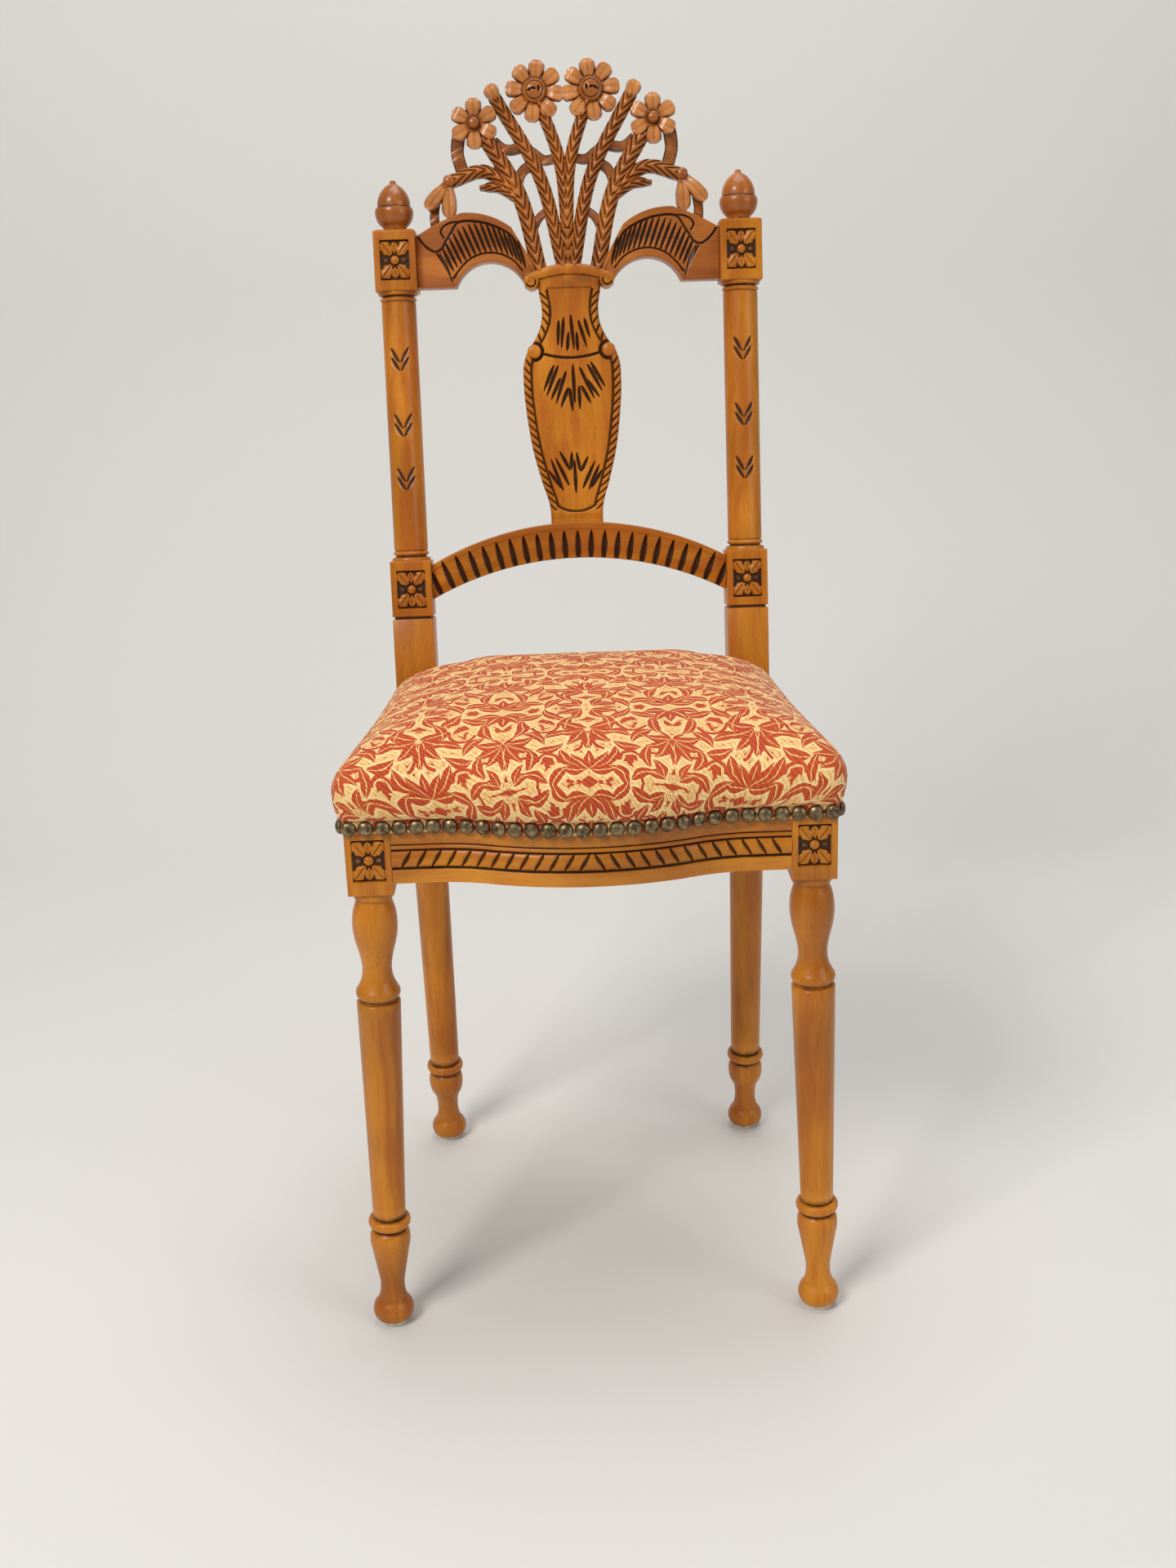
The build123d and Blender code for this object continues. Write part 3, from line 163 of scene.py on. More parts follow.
def turned(profile, segments, cut=None):
    """Turned shape from (radius, height) points that run upwards; cut gives a depth at each turn and height.

    Grooves of the profile are darkened, with stain and painted shade, and the darkening thins out beside
    them.
    """
    radius, height = np.array(profile, float).T
    turns = np.linspace(0, 2 * math.pi, segments, endpoint=False)
    depth = cut(turns[None, :], height[:, None]) if cut else np.zeros((len(radius), segments))
    reach = np.maximum(radius[:, None] - depth, 0.05)
    points = np.stack([reach * np.cos(turns), reach * np.sin(turns),
                       np.repeat(height[:, None], segments, axis=1)], axis=-1)
    away = np.abs(height[:, None] - height[None, :])
    near = np.array([radius[gap < 6.0].max() for gap in away])
    wide = np.array([np.median(radius[gap < 9.0]) for gap in away])
    groove = np.clip((near - radius - 0.8) / 2.2, 0, 1) * np.clip((wide - radius + 0.3) / 1.2, 0, 1)
    groove = np.maximum(groove, 0.4 * (groove[None, :] * np.clip(1 - away / 9.0, 0, 1)).max(axis=1))
    return rings_skin(points, np.clip(0.58 * groove[:, None] + 0.62 * depth, 0, 1))


def easing(reach):
    """Weights that ease a value over some steps to both sides."""
    weights = np.hanning(2 * reach + 3)[1:-1]
    return weights / weights.sum()


def softened(values, steps, ends="wrap"):
    """Values eased over a few steps to both sides: round a ring, or along a row if ends is edge."""
    return np.convolve(np.pad(values, steps, mode=ends), easing(steps), mode="valid")


def spread_stain_and_shade(tint, reach):
    """Stain of cuts, with a thinner darkening spread onto the wood around them: stain left there and painted
    shade.
    """
    spread = np.pad(tint, reach, mode="edge")
    for axis in (0, 1):
        spread = np.apply_along_axis(np.convolve, axis, spread, easing(reach), mode="valid")
    return np.maximum(tint, np.clip(SPREAD_STAIN_AND_SHADE * spread, 0, SPREAD_STAIN_AND_SHADE_MOST))


def board(places, depth, front, back, recess, edge=1.2):
    """Carved board: a grid of (x, rise) places whose front is cut to a depth, closed with its edges and back.

    The front's rim is rounded over by edge, as a handled edge is, and the back is drawn in a little.
    """
    rows, columns = places.shape[:2]
    steps_up = np.linalg.norm(np.diff(places, axis=0), axis=2)
    steps_along = np.linalg.norm(np.diff(places, axis=1), axis=2)
    up = np.concatenate([np.zeros((1, columns)), np.cumsum(steps_up, axis=0)])
    along = np.concatenate([np.zeros((rows, 1)), np.cumsum(steps_along, axis=1)], axis=1)
    rim = np.minimum.reduce([up, up[-1:] - up, along, along[:, -1:] - along])
    inside = np.clip(edge - rim, 0, edge)
    fall = edge - np.sqrt(np.clip(edge ** 2 - inside ** 2, 0, None))
    level = -front + depth + fall
    face = np.stack([places[..., 0], level, places[..., 1]], axis=-1).reshape(-1, 3)
    index = np.arange(rows * columns).reshape(rows, columns)
    loop = np.concatenate([index[0, :-1], index[:-1, -1], index[-1, :0:-1], index[:0:-1, 0]])
    shoulder, rear = face[loop], face[loop]
    shoulder[:, 1] = back - edge
    rear[:, 1] = back
    inward = rear.mean(axis=0) - rear
    inward /= np.maximum(np.linalg.norm(inward, axis=1, keepdims=True), 1e-6)
    rear += inward * edge * 0.6
    base, count = rows * columns, len(loop)
    faces = quads(rows, columns)
    for step, later in enumerate(np.roll(np.arange(count), -1).tolist()):
        faces.append([int(loop[later]), int(loop[step]), base + step, base + later])
        faces.append([base + later, base + step, base + count + step, base + count + later])
    faces.append([base + count + step for step in range(count)][::-1])
    tint = np.concatenate([recess.reshape(-1), np.zeros(2 * count)])
    return np.concatenate([face, shoulder, rear]), faces, tint


def piece(name, shape, finish, replaces, sharp=38.0):
    """Makes an object of a shape with its finish, and lets it ride on the chair in place of its nodes."""
    mesh = bpy.data.meshes.new(name)
    mesh.from_pydata((shape[0] * MM).tolist(), [], shape[1])
    mesh.validate()
    mesh.attributes.new("recess", "FLOAT", "POINT").data.foreach_set("value", shape[2].astype(np.float32))
    form = bmesh.new()
    form.from_mesh(mesh)
    bmesh.ops.recalc_face_normals(form, faces=form.faces)
    form.to_mesh(mesh)
    form.free()
    mesh.shade_smooth()
    mesh.set_sharp_from_angle(angle=math.radians(sharp))
    mesh.materials.append(finish)
    obj = bpy.data.objects.new(name, mesh)
    scene.collection.objects.link(obj)
    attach(obj, "root")
    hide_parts(*replaces)
    return obj


# Finishes
SOCKETS = {1: "NodeSocketFloat", 3: "NodeSocketVector", 4: "NodeSocketColor"}    # by the size of their values
ORIGIN = (0.0, 0.0, 0.0)


def group(name, inputs, outputs):
    """New shader node group from the values of its inputs and the names of its outputs; Color is a colour.

    Returns the group, its given sockets and the node that takes its results.
    """
    tree = bpy.data.node_groups.new(name, "ShaderNodeTree")
    for label, value in inputs.items():
        socket = tree.interface.new_socket(label, in_out="INPUT", socket_type=SOCKETS[np.size(value)])
        socket.default_value = value
    for label in outputs:
        tree.interface.new_socket(label, in_out="OUTPUT", socket_type=SOCKETS[4 if label == "Color" else 1])
    return tree, tree.nodes.new("NodeGroupInput").outputs, tree.nodes.new("NodeGroupOutput")


def fill(tree, made, inputs):
    """Fills a node's inputs: a socket is linked, anything else is a value."""
    for key, value in inputs.items():
        if isinstance(value, bpy.types.NodeSocket):
            tree.links.new(value, made.inputs[key])
        else:
            made.inputs[key].default_value = value


def node(tree, kind, inputs=None, **settings):
    """Adds a node, sets its options and fills its inputs."""
    made = tree.nodes.new(kind)
    for key, value in settings.items():
        setattr(made, key, value)
    fill(tree, made, inputs or {})
    return made


def placed_group(tree, which, inputs):
    """A node group placed in a material with its own values."""
    return node(tree, "ShaderNodeGroup", inputs, node_tree=which)


def maths(tree, operation, *values):
    """One Math node's result."""
    return node(tree, "ShaderNodeMath", dict(enumerate(values)), operation=operation).outputs[0]


def greater(tree, most, value):
    """The greater of two values, or the second where there is no first."""
    return value if most is None else maths(tree, "MAXIMUM", most, value)


def vectors(tree, operation, first, second):
    """One Vector Math node's vector."""
    return node(tree, "ShaderNodeVectorMath", {0: first, 1: second}, operation=operation).outputs[0]


def noise(tree, where, scale, detail, result="Fac", **more):
    """Result of a noise over places, with its other inputs by name."""
    inputs = {"Vector": where, "Scale": scale, "Detail": detail, **more}
    return node(tree, "ShaderNodeTexNoise", inputs).outputs[result]


def ramp(tree, value, low, high, to_low=0.0, to_high=1.0):
    """Value moved smoothly from one range to another."""
    made = node(tree, "ShaderNodeMapRange", {"Value": value, "From Min": low, "From Max": high,
                                            "To Min": to_low, "To Max": to_high},
                interpolation_type="SMOOTHSTEP")
    return made.outputs["Result"]


def blend(tree, share, first, second):
    """Two colours mixed."""
    made = node(tree, "ShaderNodeMix", {0: share, 6: first, 7: second}, data_type="RGBA")
    return made.outputs[2]


def rgb(red, green, blue):
    """Linear colour from 0 to 255 values as seen on a screen."""
    line = [v / 255 / 12.92 if v <= 10 else ((v / 255 + 0.055) / 1.055) ** 2.4 for v in (red, green, blue)]
    return (*line, 1.0)


def wood_figure_group():
    """Fruitwood figure: broad streaks, fine pores and slow changes of tone along the grain."""
    tree, given, result = group(
        "Wood figure", {"Vector": ORIGIN, "Light": rgb(205, 138, 62), "Mid": rgb(176, 104, 38),
                        "Dark": rgb(122, 64, 22)}, ("Color", "Pores", "Tone"))
    where, dark = given["Vector"], given["Dark"]
    stretched = vectors(tree, "MULTIPLY", where, (62.0, 62.0, 4.2))
    bent = vectors(tree, "ADD", stretched, noise(tree, where, 9.0, 2.0, "Color"))
    broad = noise(tree, bent, 0.9, 5.0, Roughness=0.62)
    pore = noise(tree, vectors(tree, "MULTIPLY", where, (900.0, 900.0, 34.0)), 1.0, 2.0)
    slow = noise(tree, where, 7.5, 3.0)
    streak = ramp(tree, broad, 0.34, 0.66)
    tone = ramp(tree, slow, 0.3, 0.7)
    pores = ramp(tree, pore, 0.56, 0.74)
    colour = blend(tree, streak, given["Mid"], given["Light"])
    colour = blend(tree, maths(tree, "MULTIPLY", maths(tree, "SUBTRACT", 1.0, tone), 0.5), colour, dark)
    colour = blend(tree, maths(tree, "MULTIPLY", pores, 0.34), colour, dark)
    fill(tree, result, {"Color": colour, "Pores": pores, "Tone": tone})
    return tree


def stain_and_shade_group():
    """Stain in cuts and painted shade in hollows, with pale wear and painted highlight on proud and rubbed
    wood.
    """
    tree, given, result = group(
        "Stain and painted shade in the cuts", {"Color": rgb(176, 104, 38), "Recess": 0.0, "Vector": ORIGIN,
                              "Stain and shade": rgb(40, 19, 8), "Wear and highlight": rgb(228, 160, 62), "Edges": 0.5},
        ("Color", "Mask"))
    recess = given["Recess"]
    patch = noise(tree, given["Vector"], 130.0, 3.0)
    uneven = maths(tree, "MULTIPLY_ADD", patch, 0.5, -0.25)
    mask = maths(tree, "MULTIPLY", ramp(tree, maths(tree, "ADD", recess, uneven), 0.22, 0.72), 0.94)
    # Painted shade in the hollows, found by how concave the surface is
    point = node(tree, "ShaderNodeNewGeometry").outputs["Pointiness"]
    hollow = ramp(tree, point, 0.495, 0.40)
    # Pale on edges that stand proud, and where the tint is below 0: wear and painted highlight
    ridge = maths(tree, "MULTIPLY", ramp(tree, point, 0.515, 0.62), patch)
    ridge = maths(tree, "MULTIPLY", ridge, given["Edges"])
    rubbed_and_highlit = maths(tree, "MULTIPLY", ramp(tree, recess, -0.05, -1.0), patch)
    worn = maths(tree, "MAXIMUM", maths(tree, "MULTIPLY", ridge, 0.8), rubbed_and_highlit)
    colour = blend(tree, worn, given["Color"], given["Wear and highlight"])
    dark = maths(tree, "MAXIMUM", mask, maths(tree, "MULTIPLY", hollow, 0.55))
    colour = blend(tree, dark, colour, given["Stain and shade"])
    fill(tree, result, {"Color": colour, "Mask": dark})
    return tree


def weave_group():
    """Plain weave: threads that pass over and under each other, as a height and a shade."""
    tree, given, result = group(
        "Woven threads", {"Vector": ORIGIN, "Threads": 700.0, "Slant": 1.0}, ("Height", "Shade"))
    where, threads = given["Vector"], given["Threads"]
    split = node(tree, "ShaderNodeSeparateXYZ", {0: where})
    shift = maths(tree, "MULTIPLY", noise(tree, where, 60.0, 2.0), 0.004)
    across, along = (maths(tree, "MULTIPLY", maths(tree, "ADD", split.outputs[axis], shift), threads)
                     for axis in (0, 1))
    rib = maths(tree, "SINE", maths(tree, "MULTIPLY", across, math.tau))
    twill = maths(tree, "MULTIPLY_ADD", across, given["Slant"], along)
    line = maths(tree, "SINE", maths(tree, "MULTIPLY", twill, math.tau / 3))
    height = maths(tree, "MULTIPLY_ADD", line, 0.7, maths(tree, "MULTIPLY", rib, 0.3))
    relief = ramp(tree, height, -0.9, 0.7)
    fuzz = noise(tree, where, 900.0, 2.0)
    shade = maths(tree, "MULTIPLY_ADD", fuzz, 0.35, maths(tree, "MULTIPLY", relief, 0.65))
    fill(tree, result, {"Height": relief, "Shade": shade})
    return tree


def leaf_group():
    """Woven leaf: how far inside a pointed, bent leaf each place lies, and its midrib."""
    tree, given, result = group(
        "Damask leaf", {"Vector": ORIGIN, "Middle": ORIGIN, "Turn": 0.0, "Length": 0.02, "Width": 0.006,
                        "Bend": 0.0}, ("Inside", "Rib"))
    moved = vectors(tree, "SUBTRACT", given["Vector"], given["Middle"])
    spun = node(tree, "ShaderNodeVectorRotate", {"Vector": moved, "Angle": given["Turn"]},
                rotation_type="Z_AXIS", invert=True)
    split = node(tree, "ShaderNodeSeparateXYZ", {0: spun.outputs[0]})
    a = maths(tree, "DIVIDE", split.outputs[0], given["Length"])
    square = maths(tree, "MULTIPLY", a, a)
    b = maths(tree, "DIVIDE", split.outputs[1], given["Width"])
    b = maths(tree, "ABSOLUTE", maths(tree, "MULTIPLY_ADD", square, given["Bend"], b))
    taper = maths(tree, "MAXIMUM", maths(tree, "MULTIPLY_ADD", a, -0.35, 1.0), 0.2)
    belly = maths(tree, "MULTIPLY", maths(tree, "SUBTRACT", 1.0, square), taper)
    inside = maths(tree, "SUBTRACT", belly, b)
    rib = maths(tree, "SUBTRACT", maths(tree, "MULTIPLY", belly, 0.09), b)
    fill(tree, result, {"Inside": inside, "Rib": rib})
    return tree


def scroll_group():
    """Woven stem: how far inside a curved band about a centre each place lies, on one side of a line."""
    tree, given, result = group(
        "Damask scroll", {"Vector": ORIGIN, "Middle": ORIGIN, "Radius": 0.02, "Width": 0.0015,
                          "Toward": (1.0, 0.0, 0.0)}, ("Inside",))
    moved = vectors(tree, "SUBTRACT", given["Vector"], given["Middle"])
    reach = node(tree, "ShaderNodeVectorMath", {0: moved}, operation="LENGTH").outputs["Value"]
    side = node(tree, "ShaderNodeVectorMath", {0: moved, 1: given["Toward"]},
                operation="DOT_PRODUCT").outputs["Value"]
    off = maths(tree, "ABSOLUTE", maths(tree, "SUBTRACT", reach, given["Radius"]))
    inside = maths(tree, "SUBTRACT", 1.0, maths(tree, "DIVIDE", off, given["Width"]))
    near = maths(tree, "MULTIPLY", side, 300.0)
    fill(tree, result, {"Inside": maths(tree, "MINIMUM", inside, near)})
    return tree


WOOD_FIGURE = wood_figure_group()
STAIN_AND_SHADE = stain_and_shade_group()
WEAVE = weave_group()
LEAF = leaf_group()
SCROLL = scroll_group()


def blank_finish(name):
    """Empty material with its Principled shader."""
    made = bpy.data.materials.new(name)
    made.use_nodes = True
    tree = made.node_tree
    return made, tree, tree.nodes["Principled BSDF"]


def object_place(tree):
    """Place of each point of the object."""
    return node(tree, "ShaderNodeTexCoord").outputs["Object"]


def recess_of(tree):
    """How dark each point is with stain and painted shade, or below 0 how pale with wear and painted
    highlight.
    """
    return node(tree, "ShaderNodeAttribute", attribute_name="recess").outputs["Fac"]


def raise_surface(tree, shader, height, strength, distance):
    """Lets a height stand out in the shading, up to a distance in metres."""
    bump = node(tree, "ShaderNodeBump", {"Strength": strength, "Distance": distance, "Height": height})
    tree.links.new(bump.outputs[0], shader.inputs["Normal"])


def wood_finish(name, grain_turn, light, mid, dark, worn=rgb(228, 160, 62), edges=0.5, gloss=0.34, coat=0.18):
    """Lacquered wood, grain along the axis that grain_turn brings to Z; worn: pale of wear and painted
    highlight.
    """
    made, tree, shader = blank_finish(name)
    where = object_place(tree)
    turned_to = node(tree, "ShaderNodeMapping", {"Vector": where, "Rotation": grain_turn}).outputs[0]
    figure = placed_group(tree, WOOD_FIGURE, {"Vector": turned_to, "Light": light, "Mid": mid, "Dark": dark})
    stained_and_shaded = placed_group(tree, STAIN_AND_SHADE, {"Color": figure.outputs["Color"], "Recess": recess_of(tree),
                                        "Vector": where, "Wear and highlight": worn, "Edges": edges})
    rough = maths(tree, "MULTIPLY_ADD", figure.outputs["Tone"], 0.12, gloss)
    rough = maths(tree, "MULTIPLY_ADD", stained_and_shaded.outputs["Mask"], 0.22, rough)
    fill(tree, shader, {"Base Color": stained_and_shaded.outputs["Color"], "Roughness": rough, "Coat Weight": coat,
                        "Coat Roughness": 0.16, "Specular IOR Level": 0.32})
    raise_surface(tree, shader, maths(tree, "MULTIPLY", figure.outputs["Pores"], -1.0), 0.12, 0.0004)
    return made


UPRIGHT = ORIGIN
CROSSWISE = (0.0, math.radians(90), 0.0)
FORE_AND_AFT = (math.radians(90), 0.0, 0.0)
HONEY = (rgb(216, 137, 24), rgb(188, 104, 10), rgb(114, 54, 4))
CHESTNUT = (rgb(192, 112, 36), rgb(156, 82, 18), rgb(92, 42, 8))
turned_wood = wood_finish("Honey wood upright", UPRIGHT, *HONEY)
rail_wood = wood_finish("Honey wood crosswise", CROSSWISE, *HONEY)
side_wood = wood_finish("Honey wood fore and aft", FORE_AND_AFT, *HONEY)
# Pale of the carving's proud edges and rubbed faces: wear and painted highlight
RUBBED_AND_HIGHLIGHT = rgb(236, 164, 96)
bouquet_wood = wood_finish("Chestnut carving", UPRIGHT, *CHESTNUT, RUBBED_AND_HIGHLIGHT, edges=0.9, coat=0.42, gloss=0.32)
crest_wood = wood_finish("Chestnut crest", CROSSWISE, *CHESTNUT, RUBBED_AND_HIGHLIGHT, edges=0.8, coat=0.28)
SAWN = (rgb(196, 158, 108), rgb(170, 128, 80), rgb(120, 84, 48))
block_wood = wood_finish("Sawn corner wood", CROSSWISE, *SAWN, edges=0.2, gloss=0.6, coat=0.0)


# Carver's cuts
def smooth(value, low, high):
    """0 below low, 1 above high, with an easy change between."""
    t = np.clip((value - low) / (high - low), 0, 1)
    return t * t * (3 - 2 * t)


def gouge(x, z, start, end, width, depth, belly=1.0):
    """Depth of a leaf-shaped V cut from start to end.

    Width is half of its widest place, which lies nearer to start where belly is under 1.
    """
    run = (end[0] - start[0], end[1] - start[1])
    length = math.hypot(*run)
    along = ((x - start[0]) * run[0] + (z - start[1]) * run[1]) / length ** 2
    off = np.abs((x - start[0]) * run[1] - (z - start[1]) * run[0]) / length
    half = width * np.maximum(np.sin(math.pi * np.clip(along, 0, 1) ** belly), 1e-9) ** 0.65
    return depth * np.clip(1 - off / half, 0, 1)


def line_cut(x, z, points, width, depth):
    """Depth of a V line of even width along a curve."""
    path = through(points, 60)
    reach = np.full(x.shape, 1e9)
    for first, second in zip(path[:-1], path[1:]):
        run = second - first
        t = np.clip(((x - first[0]) * run[0] + (z - first[1]) * run[1]) / (run @ run), 0, 1)
        reach = np.minimum(reach, np.hypot(x - first[0] - t * run[0], z - first[1] - t * run[1]))
    return depth * np.clip(1 - reach / width, 0, 1)


def leaf_relief(x, z, turn, start, length, width, height):
    """Height of a carved leaf that points along turn, broad towards its tip, with a vein."""
    along = x * math.cos(turn) + z * math.sin(turn) - start
    off = z * math.cos(turn) - x * math.sin(turn)
    t = np.clip(along / length, 0, 1)
    half = width * np.maximum(np.sin(math.pi * t ** 1.5), 1e-6) ** 0.7 * (1 + 0.14 * np.cos(t * 16.0))
    body = np.sqrt(np.clip(1 - (off / half) ** 2, 0, 1)) * (along > 0) * (along < length)
    return height * body * (1 - 0.42 * np.exp(-(off / 0.55) ** 2))


def flower_panel(x, z):
    """Depth, and the stain and painted shade, of a sunk panel with a four-leaved flower, about its middle."""
    half_width, half_height, sunk = PANEL[0] / 2, PANEL[1] / 2, PANEL[2]
    rim = np.minimum(half_width - np.abs(x), half_height - np.abs(z))
    floor = sunk * smooth(rim, 0, 0.9)
    corner = math.atan2(half_height, half_width)
    # Turns of the leaves, then their start, length, half width and height
    leaves = (((corner, math.pi - corner, math.pi + corner, -corner), (2.4, 16.4, 5.6, 2.8)),
              ((math.pi / 2, -math.pi / 2), (4.0, 11.6, 3.4, 2.3)),
              ((0, math.pi), (4.0, 6.4, 2.0, 1.6)))
    relief = np.zeros_like(x)
    for turns, leaf in leaves:
        for turn in turns:
            relief = np.maximum(relief, leaf_relief(x, z, turn, *leaf))
    reach = np.hypot(x, z)
    relief = relief * smooth(reach, BOSS_RADIUS + 0.1, BOSS_RADIUS + 1.5)
    relief = np.maximum(relief, BOSS_HEIGHT * np.sqrt(np.clip(1 - (reach / BOSS_RADIUS) ** 2, 0, 1)))
    depth = np.where(rim > 0, np.maximum(floor - relief, -0.4), 0)
    tint = smooth(depth, 0.9, 2.4) * smooth(rim, -0.2, 0.6)
    return depth, spread_stain_and_shade(0.82 * tint, 5)


BOSS_RADIUS, BOSS_HEIGHT = 4.1, 3.3    # round middle of a panel's flower
FINE = 0.42                             # step of the grid that a panel is carved on


def relief_block(width, low, high, middle):
    """Square block of a post or leg with the flower panel on its front, about its axis."""
    half = width / 2
    x, z = np.meshgrid(np.linspace(-half, half, int(width / FINE)),
                       np.linspace(low, high, int((high - low) / FINE)))
    depth, tint = flower_panel(x, z - middle)
    return board(np.stack([x, z], axis=-1), depth, half, half, tint, edge=1.1)


def square_ring(half, corner, place):
    """Square section with rounded corners, moved by a matrix."""
    ring = []
    for quarter in range(4):
        for step in range(5):
            turn = math.radians(90 * quarter + 22.5 * step)
            middle = math.radians(90 * quarter + 45)
            ring.append(place @ Vector((
                math.copysign(half - corner, math.cos(middle)) + corner * math.cos(turn),
                math.copysign(half - corner, math.sin(middle)) + corner * math.sin(turn), 0.0)))
    return [tuple(point) for point in ring]


def chevrons(turns, height):
    """Depth of the double V marks down the front of a post's shaft."""
    around = (turns + math.pi / 2 + math.pi) % (2 * math.pi) - math.pi
    x = around * SHAFT_RADIUS + 0 * height
    z = height + 0 * turns
    depth = np.zeros_like(x)
    for middle in CHEVRON_RISES:
        for hand in (-1, 1):
            for low, rise in ((-12.0, 0.0), (-5.0, 8.0)):
                start, end = (hand * 0.7, middle + low), (hand * 8.6, middle + rise)
                depth = np.maximum(depth, gouge(x, z, start, end, 2.7, 1.8))
    return depth


def tapered(low, high, count):
    """Straight stretch of a turned profile between two (radius, height) points."""
    return np.linspace(low, high, count).tolist()


def foot_profile(ring_height, ring_radius, ankle):
    """Turned foot up to the top of its ring: bulb, neck, small vase and ring."""
    low = ring_height - RING_HALF
    bulbs = through([(12.4, 3.0), (15.6, 7.0), (16.8, 12.0), (15.6, 17.6), (12.0, 23.4), (10.3, 30.0),
                     (10.0, 38.0), (11.6, 49.0), (15.0, low - 22.0), (16.4, low - 13.0), (15.4, low - 5.5),
                     (ankle - 1.6, low - 1.6)], 84).tolist()
    bead = [(ring_radius - 2.6 + 2.6 * math.cos(turn), ring_height + RING_HALF * math.sin(turn))
            for turn in np.linspace(-math.pi / 2, math.pi / 2, 9)]
    return (bulbs + [(ankle - 1.6, low - 0.3)] + bead
            + [(ankle - 1.6, ring_height + 4.4), (ankle, ring_height + 6.0)])


def level_foot(shape):
    """Cuts a leaning foot off level where its glide is."""
    shape[0][:, 2] = np.maximum(shape[0][:, 2], GLIDE)
    return shape


# Back posts
RING_HALF = 4.0                         # half height of the ring above a foot
SHAFT_RADIUS = 15.0
CHEVRON_RISES = (295.0, 239.0, 193.0)
CORNER = 1.6                            # rounding of a post's square corners
bend = Matrix.Translation((0, BEND_Y, BEND_Z))
lean_frame, bend_frame = (bend @ Matrix.Rotation(math.radians(lean), 4, "X")
                          for lean in (LEG_LEAN, (LEG_LEAN - RAKE) / 2))
lean_scale = 1 / math.cos(math.radians(LEG_LEAN))
bend_stretch = Matrix.Diagonal((1, 1 / math.cos(math.radians((LEG_LEAN + RAKE) / 2)), 1, 1))
rear_profile = foot_profile(82.0, 17.6, 14.0) + tapered((14.0, 88.0), (16.5, 383.0), 40)
rear_profile = [(radius, (height - BEND_Z) * lean_scale) for radius, height in rear_profile]
shaft_ends = [(17.0, 119.0), (17.0, 121.2), (16.6, 121.8), (13.6, 122.4), (13.6, 123.6), (15.2, 124.2),
              (15.9, 125.6), (15.2, 127.0), (14.2, 127.6), (14.2, 128.2), (SHAFT_RADIUS, 128.8)]
shaft_tops = [(SHAFT_RADIUS, 341.0), (14.2, 341.4), (14.2, 342.0), (15.3, 342.5), (16.0, 343.8),
              (15.3, 345.1), (13.6, 345.7), (13.6, 346.9), (16.6, 347.4), (17.0, 348.0), (17.0, 350.1)]
shaft_profile = shaft_ends + [(SHAFT_RADIUS, height) for height in np.arange(129.3, 340.6, 0.5)] + shaft_tops
low_middle, top_middle = sum(LOW_BLOCK) / 2, sum(TOP_BLOCK) / 2
half_post = POST_WIDTH / 2
top_cap = rings_skin([square_ring(half_post - inset, 1.2, lifted(TOP_BLOCK[1] - fall))
                      for inset, fall in ((0.4, 1.4), (0.4, 1.0), (2.2, 0.0))])
groove_core = rings_skin([square_ring(half_post - 2, 1.0, lifted(rise))
                          for rise in (LOW_BLOCK[0] - 2, LOW_BLOCK[0] + 2)], np.ones((2, 20)))
# Square of the post from under the seat frame, round the bend and up to the lower block
square = [square_ring(half_post - inset, CORNER, lean_frame @ lifted(rise))
          for inset, rise in ((2.5, -88.4), (0.6, -86.4), (0.0, -84.4))]
square.append(square_ring(half_post, CORNER, bend_frame @ bend_stretch))
square += [square_ring(half_post - inset, CORNER, BACK_FRAME @ lifted(rise))
           for inset, rise in ((0.0, 66.6), (0.5, 67.6), (1.6, 68.0))]
for name, side in SIDES:
    leg = level_foot(placed(turned(rear_profile, 64), lean_frame))
    upper = joined(turned(shaft_profile, 96, chevrons), top_cap, groove_core,
                   relief_block(POST_WIDTH, LOW_BLOCK[0] + 1, LOW_BLOCK[1], low_middle),
                   relief_block(POST_WIDTH, TOP_BLOCK[0], TOP_BLOCK[1] - 1, top_middle))
    whole = joined(leg, rings_skin(square), in_back(upper))
    whole = placed(whole, Matrix.Translation((side * POST_X, 0, 0)))
    piece("back_post_" + name + "_carved", whole, turned_wood, ["back_post_" + name])

# Finials
acorn = [(6.0, -1.0), (10.0, 0.0), (10.3, 1.2), (9.6, 2.4), (10.6, 3.6)]
acorn += through([(10.6, 3.6), (14.2, 7.6), (16.2, 12.8), (16.5, 17.4), (15.9, 19.4)], 24).tolist()
acorn += [(14.6, 19.7), (14.2, 20.2)]
acorn += through([(14.3, 20.6), (14.1, 25.0), (11.6, 31.8), (7.2, 37.2), (3.6, 39.6)], 26).tolist()
acorn += through([(3.0, 40.0), (2.7, 41.2), (1.8, 42.6), (0.3, 43.0)], 6).tolist()
acorn = turned(acorn, 56)
acorn_rise = acorn[0][:, 2]
acorn_tint = np.maximum(0.9 * lens((acorn_rise - 19.9) / 0.9), 0.5 * (1 - smooth(acorn_rise, 1.0, 4.0)))
acorn = placed((acorn[0], acorn[1], acorn_tint), lifted(TOP_BLOCK[1]))
both = [in_back(acorn, side * POST_X) for _, side in SIDES]
piece("acorn_finials", joined(*both), bouquet_wood, ["finials"])

